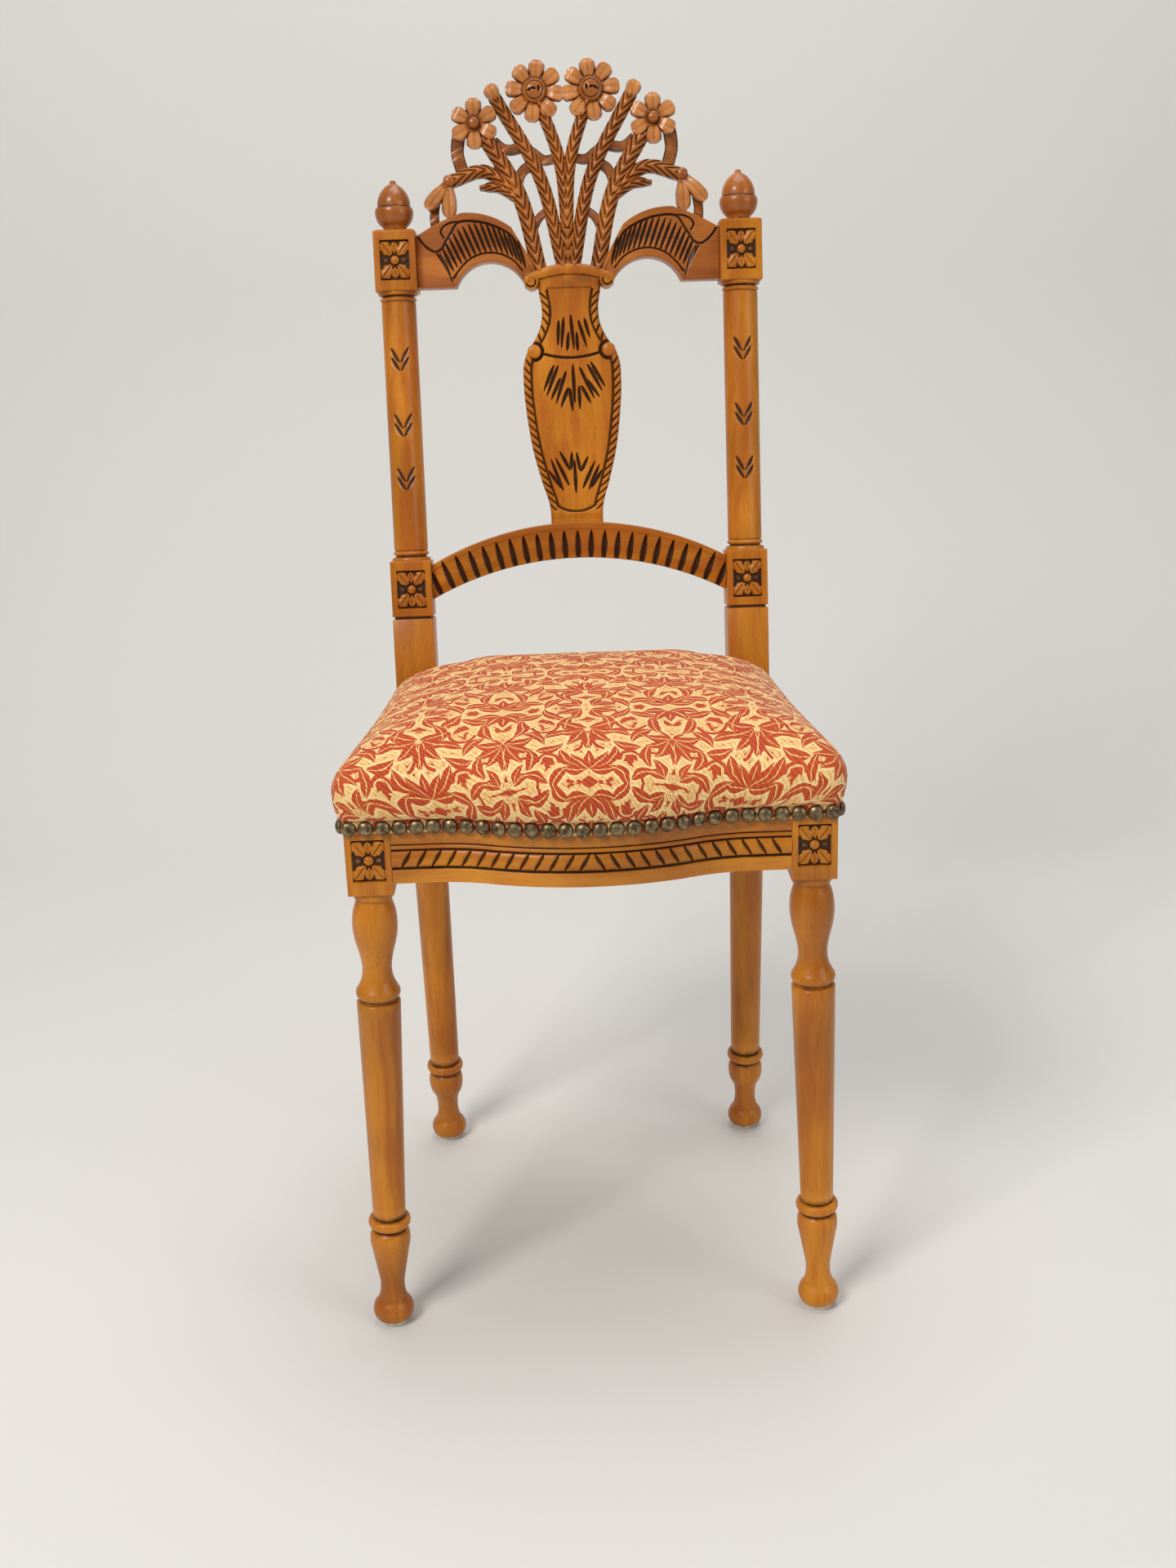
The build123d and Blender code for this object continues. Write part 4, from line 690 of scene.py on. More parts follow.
# Front legs
PANEL_MIDDLE = 413.0                    # height of the flower on a front leg's block
front_profile = foot_profile(95.0, 17.2, 13.25) + tapered((13.25, 101.0), (17.25, 291.0), 30)
front_profile += [(16.6, 292.0), (14.6, 292.8), (14.6, 295.0), (16.2, 295.8), (17.2, 297.4), (17.5, 299.2),
                  (17.2, 301.2), (16.0, 303.4)]
front_profile += through([(15.6, 304.0), (13.0, 309.6), (11.5, 318.7), (13.0, 331.0), (16.2, 344.0),
                          (17.5, 355.4), (16.6, 367.0), (13.9, 376.6)], 44).tolist()
front_profile += [(13.9, 378.2), (15.2, 379.0), (15.5, 380.0), (15.5, 384.0), (15.2, 386.0)]
splay_scale = 1 / math.cos(math.radians(FRONT_SPLAY))
front_profile = [(radius, (height - FRONT_BLOCK_LOW) * splay_scale) for radius, height in front_profile]
for name, side in SIDES:
    foot = Matrix.Translation((side * FRONT_LEG_X, FRONT_LEG_Y, 0))
    splay = Matrix.Rotation(-math.radians(side * FRONT_SPLAY), 4, "Y")
    leg = level_foot(placed(turned(front_profile, 64), foot @ lifted(FRONT_BLOCK_LOW) @ splay))
    block = placed(relief_block(FRONT_BLOCK, FRONT_BLOCK_LOW, SEAT_TOP, PANEL_MIDDLE), foot)
    piece("front_leg_" + name + "_carved", joined(leg, block), turned_wood,
          ["front_leg_" + name])

# Foot glides
disc = [(9.5, 0.0), (11.2, 0.5), (11.9, 1.6), (12.0, 2.6), (12.0, 4.2), (11.4, 4.9), (10.8, 5.0)]
foot_x = FRONT_LEG_X + (FRONT_BLOCK_LOW - GLIDE) * math.tan(math.radians(FRONT_SPLAY))
foot_y = BEND_Y + (BEND_Z - GLIDE) * math.tan(math.radians(LEG_LEAN))
feet = [(side * x, y) for _, side in SIDES for x, y in ((foot_x, FRONT_LEG_Y), (POST_X, foot_y))]
glides = [placed(turned(disc, 48), Matrix.Translation((x, y, 0))) for x, y in feet]


# Arched rail of the back
def grid_between(columns, low, high, rows):
    """Grid of (x, rise) places between two edges, and how far up it each place lies."""
    share = np.linspace(0, 1, rows)[:, None]
    rise = low[None, :] * (1 - share) + high[None, :] * share
    return np.stack([np.repeat(columns[None, :], rows, axis=0), rise], axis=-1), share + 0 * rise


ARCH_HALF = 131.0
ARCH_LOW, ARCH_END_LOW = 116.5, 84.0    # underside at the middle and at the ends
ARCH_CUTS, ARCH_CUT_STEP = 23, 11.2
arch_x = np.linspace(-ARCH_HALF, ARCH_HALF, 640)
arch_high = arc((-ARCH_HALF, ARCH_END_TOP), (0, ARCH_TOP), (ARCH_HALF, ARCH_END_TOP), arch_x)
arch_low = arc((-ARCH_HALF, ARCH_END_LOW), (0, ARCH_LOW), (ARCH_HALF, ARCH_END_LOW), arch_x)
places, share = grid_between(arch_x, arch_low, arch_high, 76)
cut = np.zeros(share.shape)
for step in range(ARCH_CUTS):
    x = (step - ARCH_CUTS // 2) * ARCH_CUT_STEP
    lean = x / 290.0
    low = np.interp(x, arch_x, arch_low) - 2.0
    start, end = (x - lean * 3.0, low - 1.0), (x + lean * 25.0, low + 26.5)
    cut = np.maximum(cut, gouge(places[..., 0], places[..., 1], start, end, 3.7, 3.2, 0.8))
depth = cut + 3.2 * (1 - smooth(share, 0.0, 0.42)) + 0.7 * (1 - smooth(share, 0.80, 0.84))
tint = spread_stain_and_shade(np.clip(cut / 2.1, 0, 1), 5)
piece("arched_back_rail_carved", in_back(board(places, depth, 10, 10, tint)), rail_wood,
      ["arched_back_rail"])

# Wings of the crest, drawn on the right
FLUTES = 17
wing_x = np.concatenate([np.linspace(25.05, 48, 70), np.linspace(48.4, 131, 200)])
wing_high = arc((48.25, 400.65), (66.8, 410.7), (91, 414), wing_x)
wing_high = np.where(wing_x > 91, arc((91, 414), (111, 406.2), (131, 395.5), wing_x), wing_high)
wing_root = np.interp(wing_x, [25, 30, 36, 48.25], [354.7, 367.8, 379.6, 400.65])
wing_high = np.where(wing_x < 48.25, wing_root, wing_high)
wing_low = np.where(wing_x < 38.5, 354.7, arc((38.5, 354.7), (68.25, 373), (98, 352.5), wing_x))
wing_low = np.where(wing_x > 98, 352.5, wing_low)
places, share = grid_between(wing_x, wing_low, wing_high, 130)
x, z = places[..., 0], places[..., 1]
above, below = z - wing_low[None, :], wing_high[None, :] - z
field_edge = 102.0 + (z - 361.0) * 0.45
lobe_edge = 111.0 - (z - 381.0) * 0.68
fluted = smooth(above, 6.4, 7.4) * smooth(below, 6.6, 7.6)
fluted = fluted * smooth(np.minimum(field_edge, lobe_edge) - x, 0.0, 1.0)
heads = through([(111, 381), (106, 388.5), (102, 394), (93, 401.5), (81, 405.5), (68, 404.6), (55, 398.5),
                 (43, 390)], FLUTES)
feet_line = through([(102, 361.5), (98, 366.5), (92, 371), (85.5, 374), (73, 379), (60, 379.5), (47, 375),
                     (37, 366)], FLUTES)
flutes = np.zeros(share.shape)
for head, foot in zip(heads, feet_line):
    flutes = np.maximum(flutes, gouge(x, z, head, foot, 2.1, 2.4))
lobe_line = [(108.7, 384.7), (113.8, 382.2), (119, 384.3), (124.1, 388.7), (128.4, 394.3)]
lower_line = [(at, np.interp(at, wing_x, wing_low) + 7.0) for at in np.linspace(100, 40, 9)]
upper_line = [(at, np.interp(at, wing_x, wing_high) - 7.0) for at in np.linspace(42, 93, 8)]
upper_line += [(101.8, 395.1), (105.3, 390.0)] + lobe_line
curl_line = [(93, 406.6), (101, 405.6), (106.6, 402.6), (109.0, 398.6), (106.6, 393.5)]
field_line = [(101, 357.5), (103.5, 364), (107.5, 371.5), (113, 380.5)]
lines = np.maximum.reduce([line_cut(x, z, lower_line, 1.1, 1.9), line_cut(x, z, upper_line, 1.3, 2.1),
                           line_cut(x, z, curl_line, 1.2, 1.9), line_cut(x, z, field_line, 1.1, 1.7)])
lobe_low = np.interp(x, *np.transpose([(102, 395), *lobe_line, (131, 397)]))
plain_field = smooth(lobe_low - z, 0.0, 1.2) * smooth(x - field_edge, 0.0, 1.5)
depth = 1.1 * fluted + np.maximum(flutes, lines) + 1.2 * plain_field
tint = spread_stain_and_shade(np.clip(np.maximum(flutes / 1.9, lines / 1.5), 0, 1), 6)
wing = board(places, depth, 10, 10, tint)
for name, side in SIDES:
    piece("crest_wing_" + name + "_carved", in_back(mirrored(wing, side)), crest_wood,
          ["crest_wing_" + name])


# Vase-shaped splat
def polar_disc(radius, front, back, cut, domed=0.0):
    """Round boss facing forwards, lower at its rim by domed; cut gives a depth at each radius and turn."""
    flat = radius - BOSS_EDGE
    reach = np.concatenate([np.linspace(0.02, flat, 22),
                            flat + BOSS_EDGE * np.sin(np.linspace(0.3, 1.57, 5))])
    turns = np.linspace(0, 2 * math.pi, 48, endpoint=False)
    r, t = np.meshgrid(reach, turns, indexing="ij")
    depth = cut(r, t)
    fall = domed * (1 - np.sqrt(np.clip(1 - (r / (radius * 1.04)) ** 2, 0, 1)))
    rolled = np.clip(r - radius + BOSS_EDGE, 0, BOSS_EDGE)
    fall += BOSS_EDGE - np.sqrt(np.clip(BOSS_EDGE ** 2 - rolled ** 2, 0, None))
    face = np.stack([r * np.cos(t), -front + depth + fall, r * np.sin(t)], axis=-1)
    rear = face[-1:].copy()
    rear[..., 1] = back
    tint = np.concatenate([np.clip(depth / 1.2, 0, 1), np.zeros((1, len(turns)))])
    return rings_skin(np.concatenate([face, rear]), tint)


def plain(r, t):
    """No cut."""
    return np.zeros_like(r)


def volute(hand):
    """Spiral groove of a scroll that winds to one hand."""
    def cut(r, t):
        wound = (np.where(hand > 0, t, math.pi - t) % (2 * math.pi)) / (2 * math.pi)
        gap = np.minimum(np.abs(r - 2.0 - 3.0 * wound), np.abs(r - 5.0 - 3.0 * wound))
        return 1.6 * np.clip(1 - gap / 1.05, 0, 1)
    return cut


BOSS_EDGE = 0.8                         # rounding at the rim of a boss
SCROLL_X = 32.5
SHOULDER = 296.0
ROPE = 7.0                              # width of the rope border, and length of one of its strands
VASE_COLUMNS = 200
waist = through([(132, 24.75), (146, 23.2), (161, 23.5), (185, 30.2), (210.95, 36.56), (240, 40.8),
                 (272, 42.8), (284, 42.28), (296, 38.5), (304, 33.0), (312, 28.49), (320, 25.6), (328, 24.6),
                 (336.5, 24.98), (345, 26.5), (364.5, 29.0)], 400)
vase_rise = np.arange(141.0, 364.5, 0.5)
vase_half = np.interp(vase_rise, waist[:, 0], waist[:, 1])
x = np.linspace(-1, 1, VASE_COLUMNS)[None, :] * vase_half[:, None]
z = np.repeat(vase_rise[:, None], VASE_COLUMNS, axis=1)
places = np.stack([x, z], axis=-1)
edge_off = vase_half[:, None] - np.abs(x)
bowl = np.hypot(x / 27.0, (z - 182.0) / 25.0)
inner = np.where(z < 182.0, np.minimum(edge_off - ROPE, (1 - bowl) * 24.0), edge_off - ROPE)
inner = np.where(z < 157.0, np.minimum(inner, (z - 157.5)), inner)
field = smooth(inner, 0.0, 1.0) * (z < 349.5)
groove = np.clip(1 - np.abs(inner - 0.2) / 1.7, 0, 1) * (z > 156.0) * (z < 348)
rope_phase = (z + edge_off * 1.1) / ROPE
rope = np.clip(1 - np.abs((rope_phase % 1) - 0.5) / 0.26, 0, 1) * smooth(-inner, 0.2, 0.9)
rope = rope * smooth(z, 157.0, 160.0) * (z < 346)
# Strokes of the three fans, each from its broad end to its point
fans = (((-10.2, 322, -11.6, 300), (-5.8, 324.5, -8.6, 297.5), (-3.6, 295.5, -2.0, 312),
         (0.2, 326.5, 2.4, 296.5), (5.6, 295.5, 5.0, 312), (6.8, 321.5, 13.6, 298), (12.0, 323, 16.6, 306)),
        ((-15.7, 284, -25.5, 262), (-12, 283.6, -23, 257.5), (-10.4, 273, -19, 254.5),
         (-5.2, 279, -15, 250.5), (-3.8, 264.6, -10.8, 247.5), (-2.6, 264, -0.4, 244),
         (0.7, 284.4, 1.6, 250.5), (5.6, 266, 5.8, 245.5), (7.6, 266, 15.5, 250.5), (6.6, 281.5, 19, 254),
         (12.6, 271, 23.5, 255.5), (13.4, 284, 26, 260.5), (16.4, 286, 28.6, 264)),
        ((-13, 178, -24, 194), (-11.4, 175.5, -21.6, 204), (-6, 180, -17.4, 204.7), (-4.6, 193, -13.4, 210),
         (-3.6, 194, -2.8, 209.5), (0, 173, -0.6, 202.6), (4.2, 192, 1.4, 209), (5.2, 192, 11.5, 205),
         (6, 177, 17.6, 201), (11.4, 175.8, 21.3, 198), (14, 178, 23.6, 193)))
strokes = np.zeros(x.shape)
for stroke in sum(fans, ()):
    strokes = np.maximum(strokes, gouge(x, z, stroke[:2], stroke[2:], 2.15, 2.4, 0.8))
collar = line_cut(x, z, [(-27.5, 294.5), (-14, 291.2), (0, 290.0), (14, 291.2), (27.5, 294.5)], 1.7, 2.2)
from_scroll = np.hypot(np.abs(x) - SCROLL_X, z - SHOULDER)
facing_in = (SCROLL_X - np.abs(x)) / np.maximum(from_scroll, 0.1)
crescent = np.clip(1 - np.abs(from_scroll - 7.2) / 2.2, 0, 1) * smooth(facing_in, -0.5, 0.1)
collar = np.maximum(collar, 2.6 * crescent)
eased = 2.2 * (1 - smooth(edge_off, 0.0, 3.0))
depth = 1.5 * field + np.maximum.reduce([strokes * field, collar, groove * 2.1, rope * 2.5]) + eased
depth = depth + 1.6 * (1 - smooth(z, 150.0, 156.5))
tint = np.maximum.reduce([strokes * field / 1.5, collar / 1.6, groove, rope])
# Painted shade under the rim: the top of the vase is darker
tint = np.maximum(tint, 0.34 * smooth(z, 345.5, 350.0))
splat = [board(places, depth, 9.0, 9.0, spread_stain_and_shade(np.clip(tint, 0, 1), 4))]
RIM_HALF = 38.5
rim_x = np.linspace(-RIM_HALF, RIM_HALF, 160)
rim_high = arc((-RIM_HALF, 359.7), (0, RIM_TOP), (RIM_HALF, 359.7), rim_x)
rim_low = arc((-RIM_HALF, 351.2), (0, 359.5), (RIM_HALF, 351.2), rim_x)
places, share = grid_between(rim_x, rim_low, rim_high, 24)
rounded = 3.4 * (1 - np.sqrt(np.clip(1 - (2 * share - 1) ** 2, 0, 1)))
# The rim's lower face is darker: painted shade on its underside
splat.append(board(places, rounded, 12.0, 9.0, 0.55 * (1 - smooth(share, 0.0, 0.3)), edge=0.5))
for _, side in SIDES:
    for rise, boss in ((SHOULDER, polar_disc(5.8, 11.4, 8.6, plain, 2.6)),
                       (354.7, polar_disc(6.2, 12.3, 8.6, volute(side)))):
        splat.append(placed(boss, Matrix.Translation((side * SCROLL_X, 0, rise))))
piece("vase_splat_carved", in_back(joined(*splat)), turned_wood, ["vase_splat"])


# Pierced bouquet
def swept(points, width, front, back, ridge=0.0, cuts=None, count=None, ends=1.0, tone=0.0):
    """Strip along a curve of (x, rise) points; cuts gives a depth along it (mm) and across it (-1 to 1)."""
    length = np.linalg.norm(np.diff(through(points, 60), axis=0), axis=1).sum()
    count = count or max(int(length / 0.7), 12)
    path = through(points, count)
    along = np.linspace(0, length, count)
    tangent = np.gradient(path, axis=0)
    tangent /= np.linalg.norm(tangent, axis=1, keepdims=True)
    side = np.stack([tangent[:, 1], -tangent[:, 0]], axis=1)
    half = width / 2 * (1 - (1 - ends) * smooth(along, length * 0.72, length))
    u = np.linspace(-1, 1, 19)
    across = np.concatenate([u, [1.0, 0.86, -0.86, -1.0]])
    crown = front + (ridge - front) * (1 - np.abs(u) ** 1.7)
    rows, tints = [], []
    for place, outward, reach, at in zip(path, side, half, along):
        cut = cuts(at, u) if cuts else np.zeros_like(u)
        level = np.concatenate([cut - crown, [back - 1.0, back, back, back - 1.0]])
        plan = place + across[:, None] * reach * outward
        rows.append(np.stack([plan[:, 0], level, plan[:, 1]], axis=1))
        # Sides of the strip darker, stain and painted shade between the parts; tone below 0 rubs the face
        # pale, wear and painted highlight
        stain = cut / 1.9 + tone + 0.6 * smooth(np.abs(u), 0.75, 1.0)
        tints.append(np.concatenate([np.clip(stain, -1, 1), [0.8, 0.1, 0.1, 0.8]]))
    return rings_skin(rows, tints)


def ear_cuts(along, u):
    """Herringbone of a wheat-ear stem."""
    phase = (along / 9.4 - 1.7 * np.abs(u)) % 1
    return 2.7 * np.clip(1 - np.abs(phase - 0.5) / 0.29, 0, 1) * smooth(np.abs(u), 0.0, 0.16)


def stem(points, width, ends=1.0):
    """Carved stem with its herringbone."""
    # tone below 0: the face between the cuts rubbed pale, wear and painted highlight
    return swept(points, width, 7.0, 0.5, 12.0, ear_cuts, ends=ends, tone=-0.4)


def ribbon(points, width):
    """Thin, wavy band of ribbon behind the stems."""
    # tone: the whole ribbon darker, painted shade as it lies behind the stems
    shape = swept(points, width, 4.6, 2.4, 4.9, count=36, tone=0.36)
    shape[0][:, 1] += 1.6 * np.sin(shape[0][:, 2] * 0.34 + shape[0][:, 0] * 0.2)
    return shape


def carved_petal(turn, start, length, width, tip=12.0, root=9.0):
    """Thick petal with a flat table and cut edges that points along turn in the plane of the back."""
    steps = np.linspace(0, 1, 17)
    steps = 1 - (1 - steps) ** 1.6
    blunt = np.sqrt(np.clip(1 - np.clip((steps - 0.76) / 0.26, 0, 1) ** 2, 0.04, 1))
    shape = blunt * (0.5 + 0.5 * smooth(steps, 0.0, 0.62))
    rows = []
    for t, grow in zip(steps, shape):
        half = width / 2 * grow
        table = root + (tip - root) * smooth(t, 0.0, 0.55) - 1.6 * smooth(t, 0.72, 1.0)
        section = [(-half, 7.0), (-0.8 * half, table - 0.2), (-0.3 * half, table), (0.0, table - 0.4),
                   (0.3 * half, table), (0.8 * half, table - 0.2), (half, 7.0),
                   (0.8 * half, 3.2), (-0.8 * half, 3.2)]
        reach = start + length * t
        rows.append([(reach * math.cos(turn) - off * math.sin(turn), -level,
                      reach * math.sin(turn) + off * math.cos(turn)) for off, level in section])
    # Cut edges and the root by the hub darker, stain and painted shade; the flat table, below 0, pale as a
    # painted reflection
    tint = np.tile([0.8, -0.5, -0.8, -0.4, -0.8, -0.5, 0.8, 0.1, 0.1], (len(steps), 1))
    tint[:3] = np.maximum(tint[:3], np.array([[0.9], [0.6], [0.25]]))
    return rings_skin(rows, tint)


def seed_cuts(r, t):
    """Dome of a large flower's middle, with a few seeds gouged out."""
    x, z = r * np.cos(t), r * np.sin(t)
    depth = np.clip(1 - np.abs(r - 7.4) / 0.8, 0, 1)
    for start, end in (((-3.8, 3.6), (-3.4, -1.6)), ((-1.4, 0.4), (2.6, 1.4)), ((1.8, 1.5), (6.4, -1.2))):
        depth = np.maximum(depth, gouge(x, z, start, end, 1.5, 2.2))
    return depth


def flower(radius, count, width, hub, first):
    """Flower of thick petals about a round middle."""
    root = hub * 0.72
    petals = [carved_petal(first + step * 2 * math.pi / count, root, radius - 1.1 - root, width * 0.93)
              for step in range(count)]
    return joined(*petals, polar_disc(hub, 16.0, -2.0, seed_cuts if hub > 6 else plain, hub * 0.62))


def set_at(shape, x, rise):
    """A shape moved to (x, rise) in the plane of the back."""
    return placed(shape, Matrix.Translation((x, 0, rise)))


BELL = (100.0, 71.0)                    # where the hanging bell's petals meet
half = [stem(((25, -6), (41.5, 61), (67, 105.5)), 13.5), stem(((4.5, -3), (22, 72.5), (58.4, 139)), 11.5),
        stem(((0, 30), (4.6, 85), (23.9, 142)), 10.5), stem(((41, 58), (70, 78.5), (98, 71.3)), 11),
        stem(((43, 56), (59, 65), (74, 65)), 8, ends=0.5),
        set_at(flower(26.0, 8, 15.0, 10.0, math.radians(97)), 23.9, 142.0),
        set_at(flower(21.5, 6, 15.0, 4.5, math.radians(90)), 76.5, 117.3),
        set_at(carved_petal(math.radians(62), -6.0, 16.0, 13.0), 58.4, 139.0),
        set_at(carved_petal(math.radians(-48), 0.0, 30.0, 13.0), *BELL),
        set_at(carved_petal(math.radians(-88), 0.0, 30.0, 13.0, tip=11.0), *BELL),
        set_at(polar_disc(5.0, 13.0, -2.0, plain, 3.6), *BELL)]
for loop, width in ((((90, 110), (92, 95), (88, 78)), 11), (((60, 103), (50, 96), (35, 98)), 8),
                    (((30, 95), (17.5, 86.5), (7, 88)), 8), (((27, 84), (36.5, 78), (42, 64)), 8),
                    (((13.5, 46), (23, 40), (31, 26)), 7), (((112, 58), (114, 46), (113.5, 32)), 8)):
    half.append(ribbon(loop, width))
half = joined(*half)
# tone below 0: the sheath's face rubbed pale, wear and painted highlight
sheath = swept(((0, -4), (0, 20), (0, 39)), 20.5, 6.0, 0.5, 9.0, ear_cuts, ends=0.3, tone=-0.3)
bouquet = placed(joined(half, mirrored(half, -1), sheath), lifted(RIM_TOP))
piece("carved_bouquet_leaves", in_back(bouquet), bouquet_wood, ["carved_bouquet"], sharp=30)


# Front rail: a section swept along the serpentine front
def front_line(x):
    """Front face of the seat rail at x: a bow in the middle between two hollows."""
    end, hollow, bow, meet = 120.0, 121.8, 216.5, 76.8
    off = np.abs(x)
    middle = -185.9 + bow - np.sqrt(bow ** 2 - np.minimum(off, meet) ** 2)
    side = -163.9 - hollow + np.sqrt(np.clip(hollow ** 2 - (end - np.clip(off, meet, end)) ** 2, 0, None))
    return np.where(off < meet, middle, side)


RAIL_DEPTH = 24.0
RAIL_CUTS, RAIL_CUT_STEP, RAIL_CUT_LEAN = 26, 11.4, 3.8
rail_x = np.linspace(-151, 151, 700)
rail_y = front_line(rail_x)
slope = np.gradient(rail_y, rail_x)
inward = np.stack([-slope, np.ones_like(slope)], axis=1) / np.sqrt(1 + slope ** 2)[:, None]
rail_along = np.concatenate([[0], np.cumsum(np.hypot(np.diff(rail_x), np.diff(rail_y)))])
rail_along -= rail_along[-1] / 2
section = [(0.0, RAIL_LOW + 0.6), (0.0, 404.6), (0.5, 405.2), (2.6, 405.6), (3.0, 406.4)]
section += [(2.6 - 3.6 * math.sqrt(max(1 - ((z - 413.5) / 6.9) ** 2, 0)), z)
            for z in np.linspace(406.7, 420.3, 26)]
section += [(3.0, 420.6), (2.6, 421.2), (0.9, 421.5), (0.3, 422.2), (0.2, 423.0), (0.3, 423.8), (0.9, 424.4),
            (1.6, 424.8), (1.5, 425.3), (0.3, 425.9), (0.0, 426.6), (0.0, SEAT_TOP - 0.6)]
sunk, rise = np.array(section).T
along, z = np.meshgrid(rail_along, rise)
cut = np.zeros(along.shape)
for step in range(RAIL_CUTS):
    middle = (step - (RAIL_CUTS - 1) / 2) * RAIL_CUT_STEP
    lean = RAIL_CUT_LEAN if middle < 0 else -RAIL_CUT_LEAN
    cut = np.maximum(cut, gouge(along, z, (middle - lean, 407.2), (middle + lean, 419.8), 2.6, 2.4))
depth = sunk[:, None] + cut
front = np.stack([rail_x + depth * inward[:, 0], rail_y + depth * inward[:, 1], z], axis=-1)
rear_x = rail_x + RAIL_DEPTH * inward[:, 0] * 0.2
back = np.stack([np.stack([rear_x, rail_y + RAIL_DEPTH, np.full_like(rail_x, level)], axis=-1)
                 for level in (SEAT_TOP - 0.2, RAIL_LOW + 0.2)])
# Painted shade: the rail's hollows darker by their depth and its flat bands a little; towards the nails a
# painted shadow of the cushion, with dirt
rail_shade_and_dirt_tint = np.clip((sunk - 0.7) / 0.9, 0, 0.9) * (rise > 405) * (rise < 426)
rail_shade_and_dirt_tint += 0.14 * (rise < 405) + (rise > 426) * (0.14 + 0.3 * smooth(rise, 436.0, 447.0))
tint = np.maximum(np.clip(cut / 2.5, 0, 1), rail_shade_and_dirt_tint[:, None])
tint = np.concatenate([spread_stain_and_shade(tint, 3), np.zeros((2, len(rail_x)))]).T
rings = np.concatenate([front, back]).transpose(1, 0, 2)
piece("front_seat_rail_carved", rings_skin(rings, tint), rail_wood, ["front_seat_rail"])


# Seat finishes
def damask_finish():
    """Woven damask of leaves and stems, rust on cream, with pale outlines and a twill surface."""
    made, tree, shader = blank_finish("Rust and cream damask")
    cloth = node(tree, "ShaderNodeAttribute", attribute_name="cloth_uv").outputs["Vector"]
    drift = vectors(tree, "SUBTRACT", noise(tree, cloth, 55.0, 2.0, "Color"), (0.5, 0.5, 0.5))
    bent = vectors(tree, "ADD", cloth, vectors(tree, "MULTIPLY", drift, (0.007, 0.007, 0.0)))
    split = node(tree, "ShaderNodeSeparateXYZ", {0: bent})
    across = maths(tree, "PINGPONG", split.outputs[0], DAMASK_TILE[0] * MM)
    along = maths(tree, "PINGPONG", maths(tree, "ADD", split.outputs[1], 1.03), DAMASK_TILE[1] * MM)
    tile = node(tree, "ShaderNodeCombineXYZ", {0: across, 1: along}).outputs[0]
    sprays = noise(tree, tile, 105.0, 1.6, Roughness=0.45, Distortion=1.1)
    # The greatest value is taken as each leaf is placed.
    figure, ribs = None, None
    for x, y, reach, count, first, step, lean, length, width, bend in DAMASK_WREATHS:
        for turn in (first + step * index for index in range(count)):
            middle = ((x + reach * math.cos(math.radians(turn))) * MM,
                      (y + reach * math.sin(math.radians(turn))) * MM, 0.0)
            leaf = placed_group(tree, LEAF, {
                "Vector": tile, "Middle": middle, "Turn": math.radians(turn + lean), "Length": length * MM,
                "Width": width * MM, "Bend": bend})
            figure = greater(tree, figure, leaf.outputs["Inside"])
            ribs = greater(tree, ribs, leaf.outputs["Rib"])
    for x, y, radius, width, turn in DAMASK_STEMS:
        toward = (math.cos(math.radians(turn)), math.sin(math.radians(turn)), 0.0)
        band = placed_group(tree, SCROLL, {
            "Vector": tile, "Middle": (x * MM, y * MM, 0.0), "Radius": radius * MM, "Width": width * MM,
            "Toward": toward})
        figure = greater(tree, figure, band.outputs["Inside"])
    clear = ramp(tree, figure, -0.80, -0.28, 0.0, 3.0)
    small = maths(tree, "SUBTRACT", maths(tree, "MULTIPLY_ADD", sprays, 9.0, -4.05), clear)
    figure = maths(tree, "MAXIMUM", figure, small)
    weave = placed_group(tree, WEAVE, {"Vector": cloth, "Threads": 620.0, "Slant": 1.0})
    worn = noise(tree, cloth, 14.0, 4.0)
    ground = blend(tree, weave.outputs["Shade"], rgb(216, 166, 94), rgb(250, 212, 138))
    rust = blend(tree, weave.outputs["Shade"], rgb(150, 42, 10), rgb(206, 78, 24))
    rust = blend(tree, ramp(tree, worn, 0.35, 0.75, 0.0, 0.35), rust, rgb(214, 92, 36))
    inner = ramp(tree, figure, 0.17, 0.21)
    outline = ramp(tree, maths(tree, "ABSOLUTE", maths(tree, "ADD", figure, 0.02)), 0.16, 0.08)
    colour = blend(tree, maths(tree, "MULTIPLY", outline, 0.7), ground, rgb(250, 222, 168))
    vein = ramp(tree, maths(tree, "ABSOLUTE", maths(tree, "SUBTRACT", sprays, 0.43)), 0.016, 0.006)
    colour = blend(tree, maths(tree, "MULTIPLY", vein, 0.8), colour, rust)
    colour = blend(tree, maths(tree, "MULTIPLY", inner, ramp(tree, ribs, 0.02, -0.02)), colour, rust)
    fill(tree, shader, {"Base Color": colour, "Roughness": 0.82, "Sheen Weight": 0.08,
                        "Sheen Roughness": 0.45})
    raised = maths(tree, "MULTIPLY_ADD", inner, 0.8, weave.outputs["Height"])
    raise_surface(tree, shader, raised, 0.35, 0.0005)
    return made


def metal_finish(name, bright, dark, rough):
    """Metal with a patina that lies unevenly and is rubbed bright on top."""
    made, tree, shader = blank_finish(name)
    where = object_place(tree)
    patch = noise(tree, where, 240.0, 4.0, Roughness=0.6)
    aged = maths(tree, "MULTIPLY_ADD", noise(tree, where, 900.0, 2.0), 0.35, patch)
    share = maths(tree, "MAXIMUM", ramp(tree, aged, 0.48, 0.9), recess_of(tree))
    fill(tree, shader, {"Base Color": blend(tree, share, bright, dark), "Metallic": 1.0,
                        "Roughness": maths(tree, "MULTIPLY_ADD", share, 0.25, rough)})
    return made


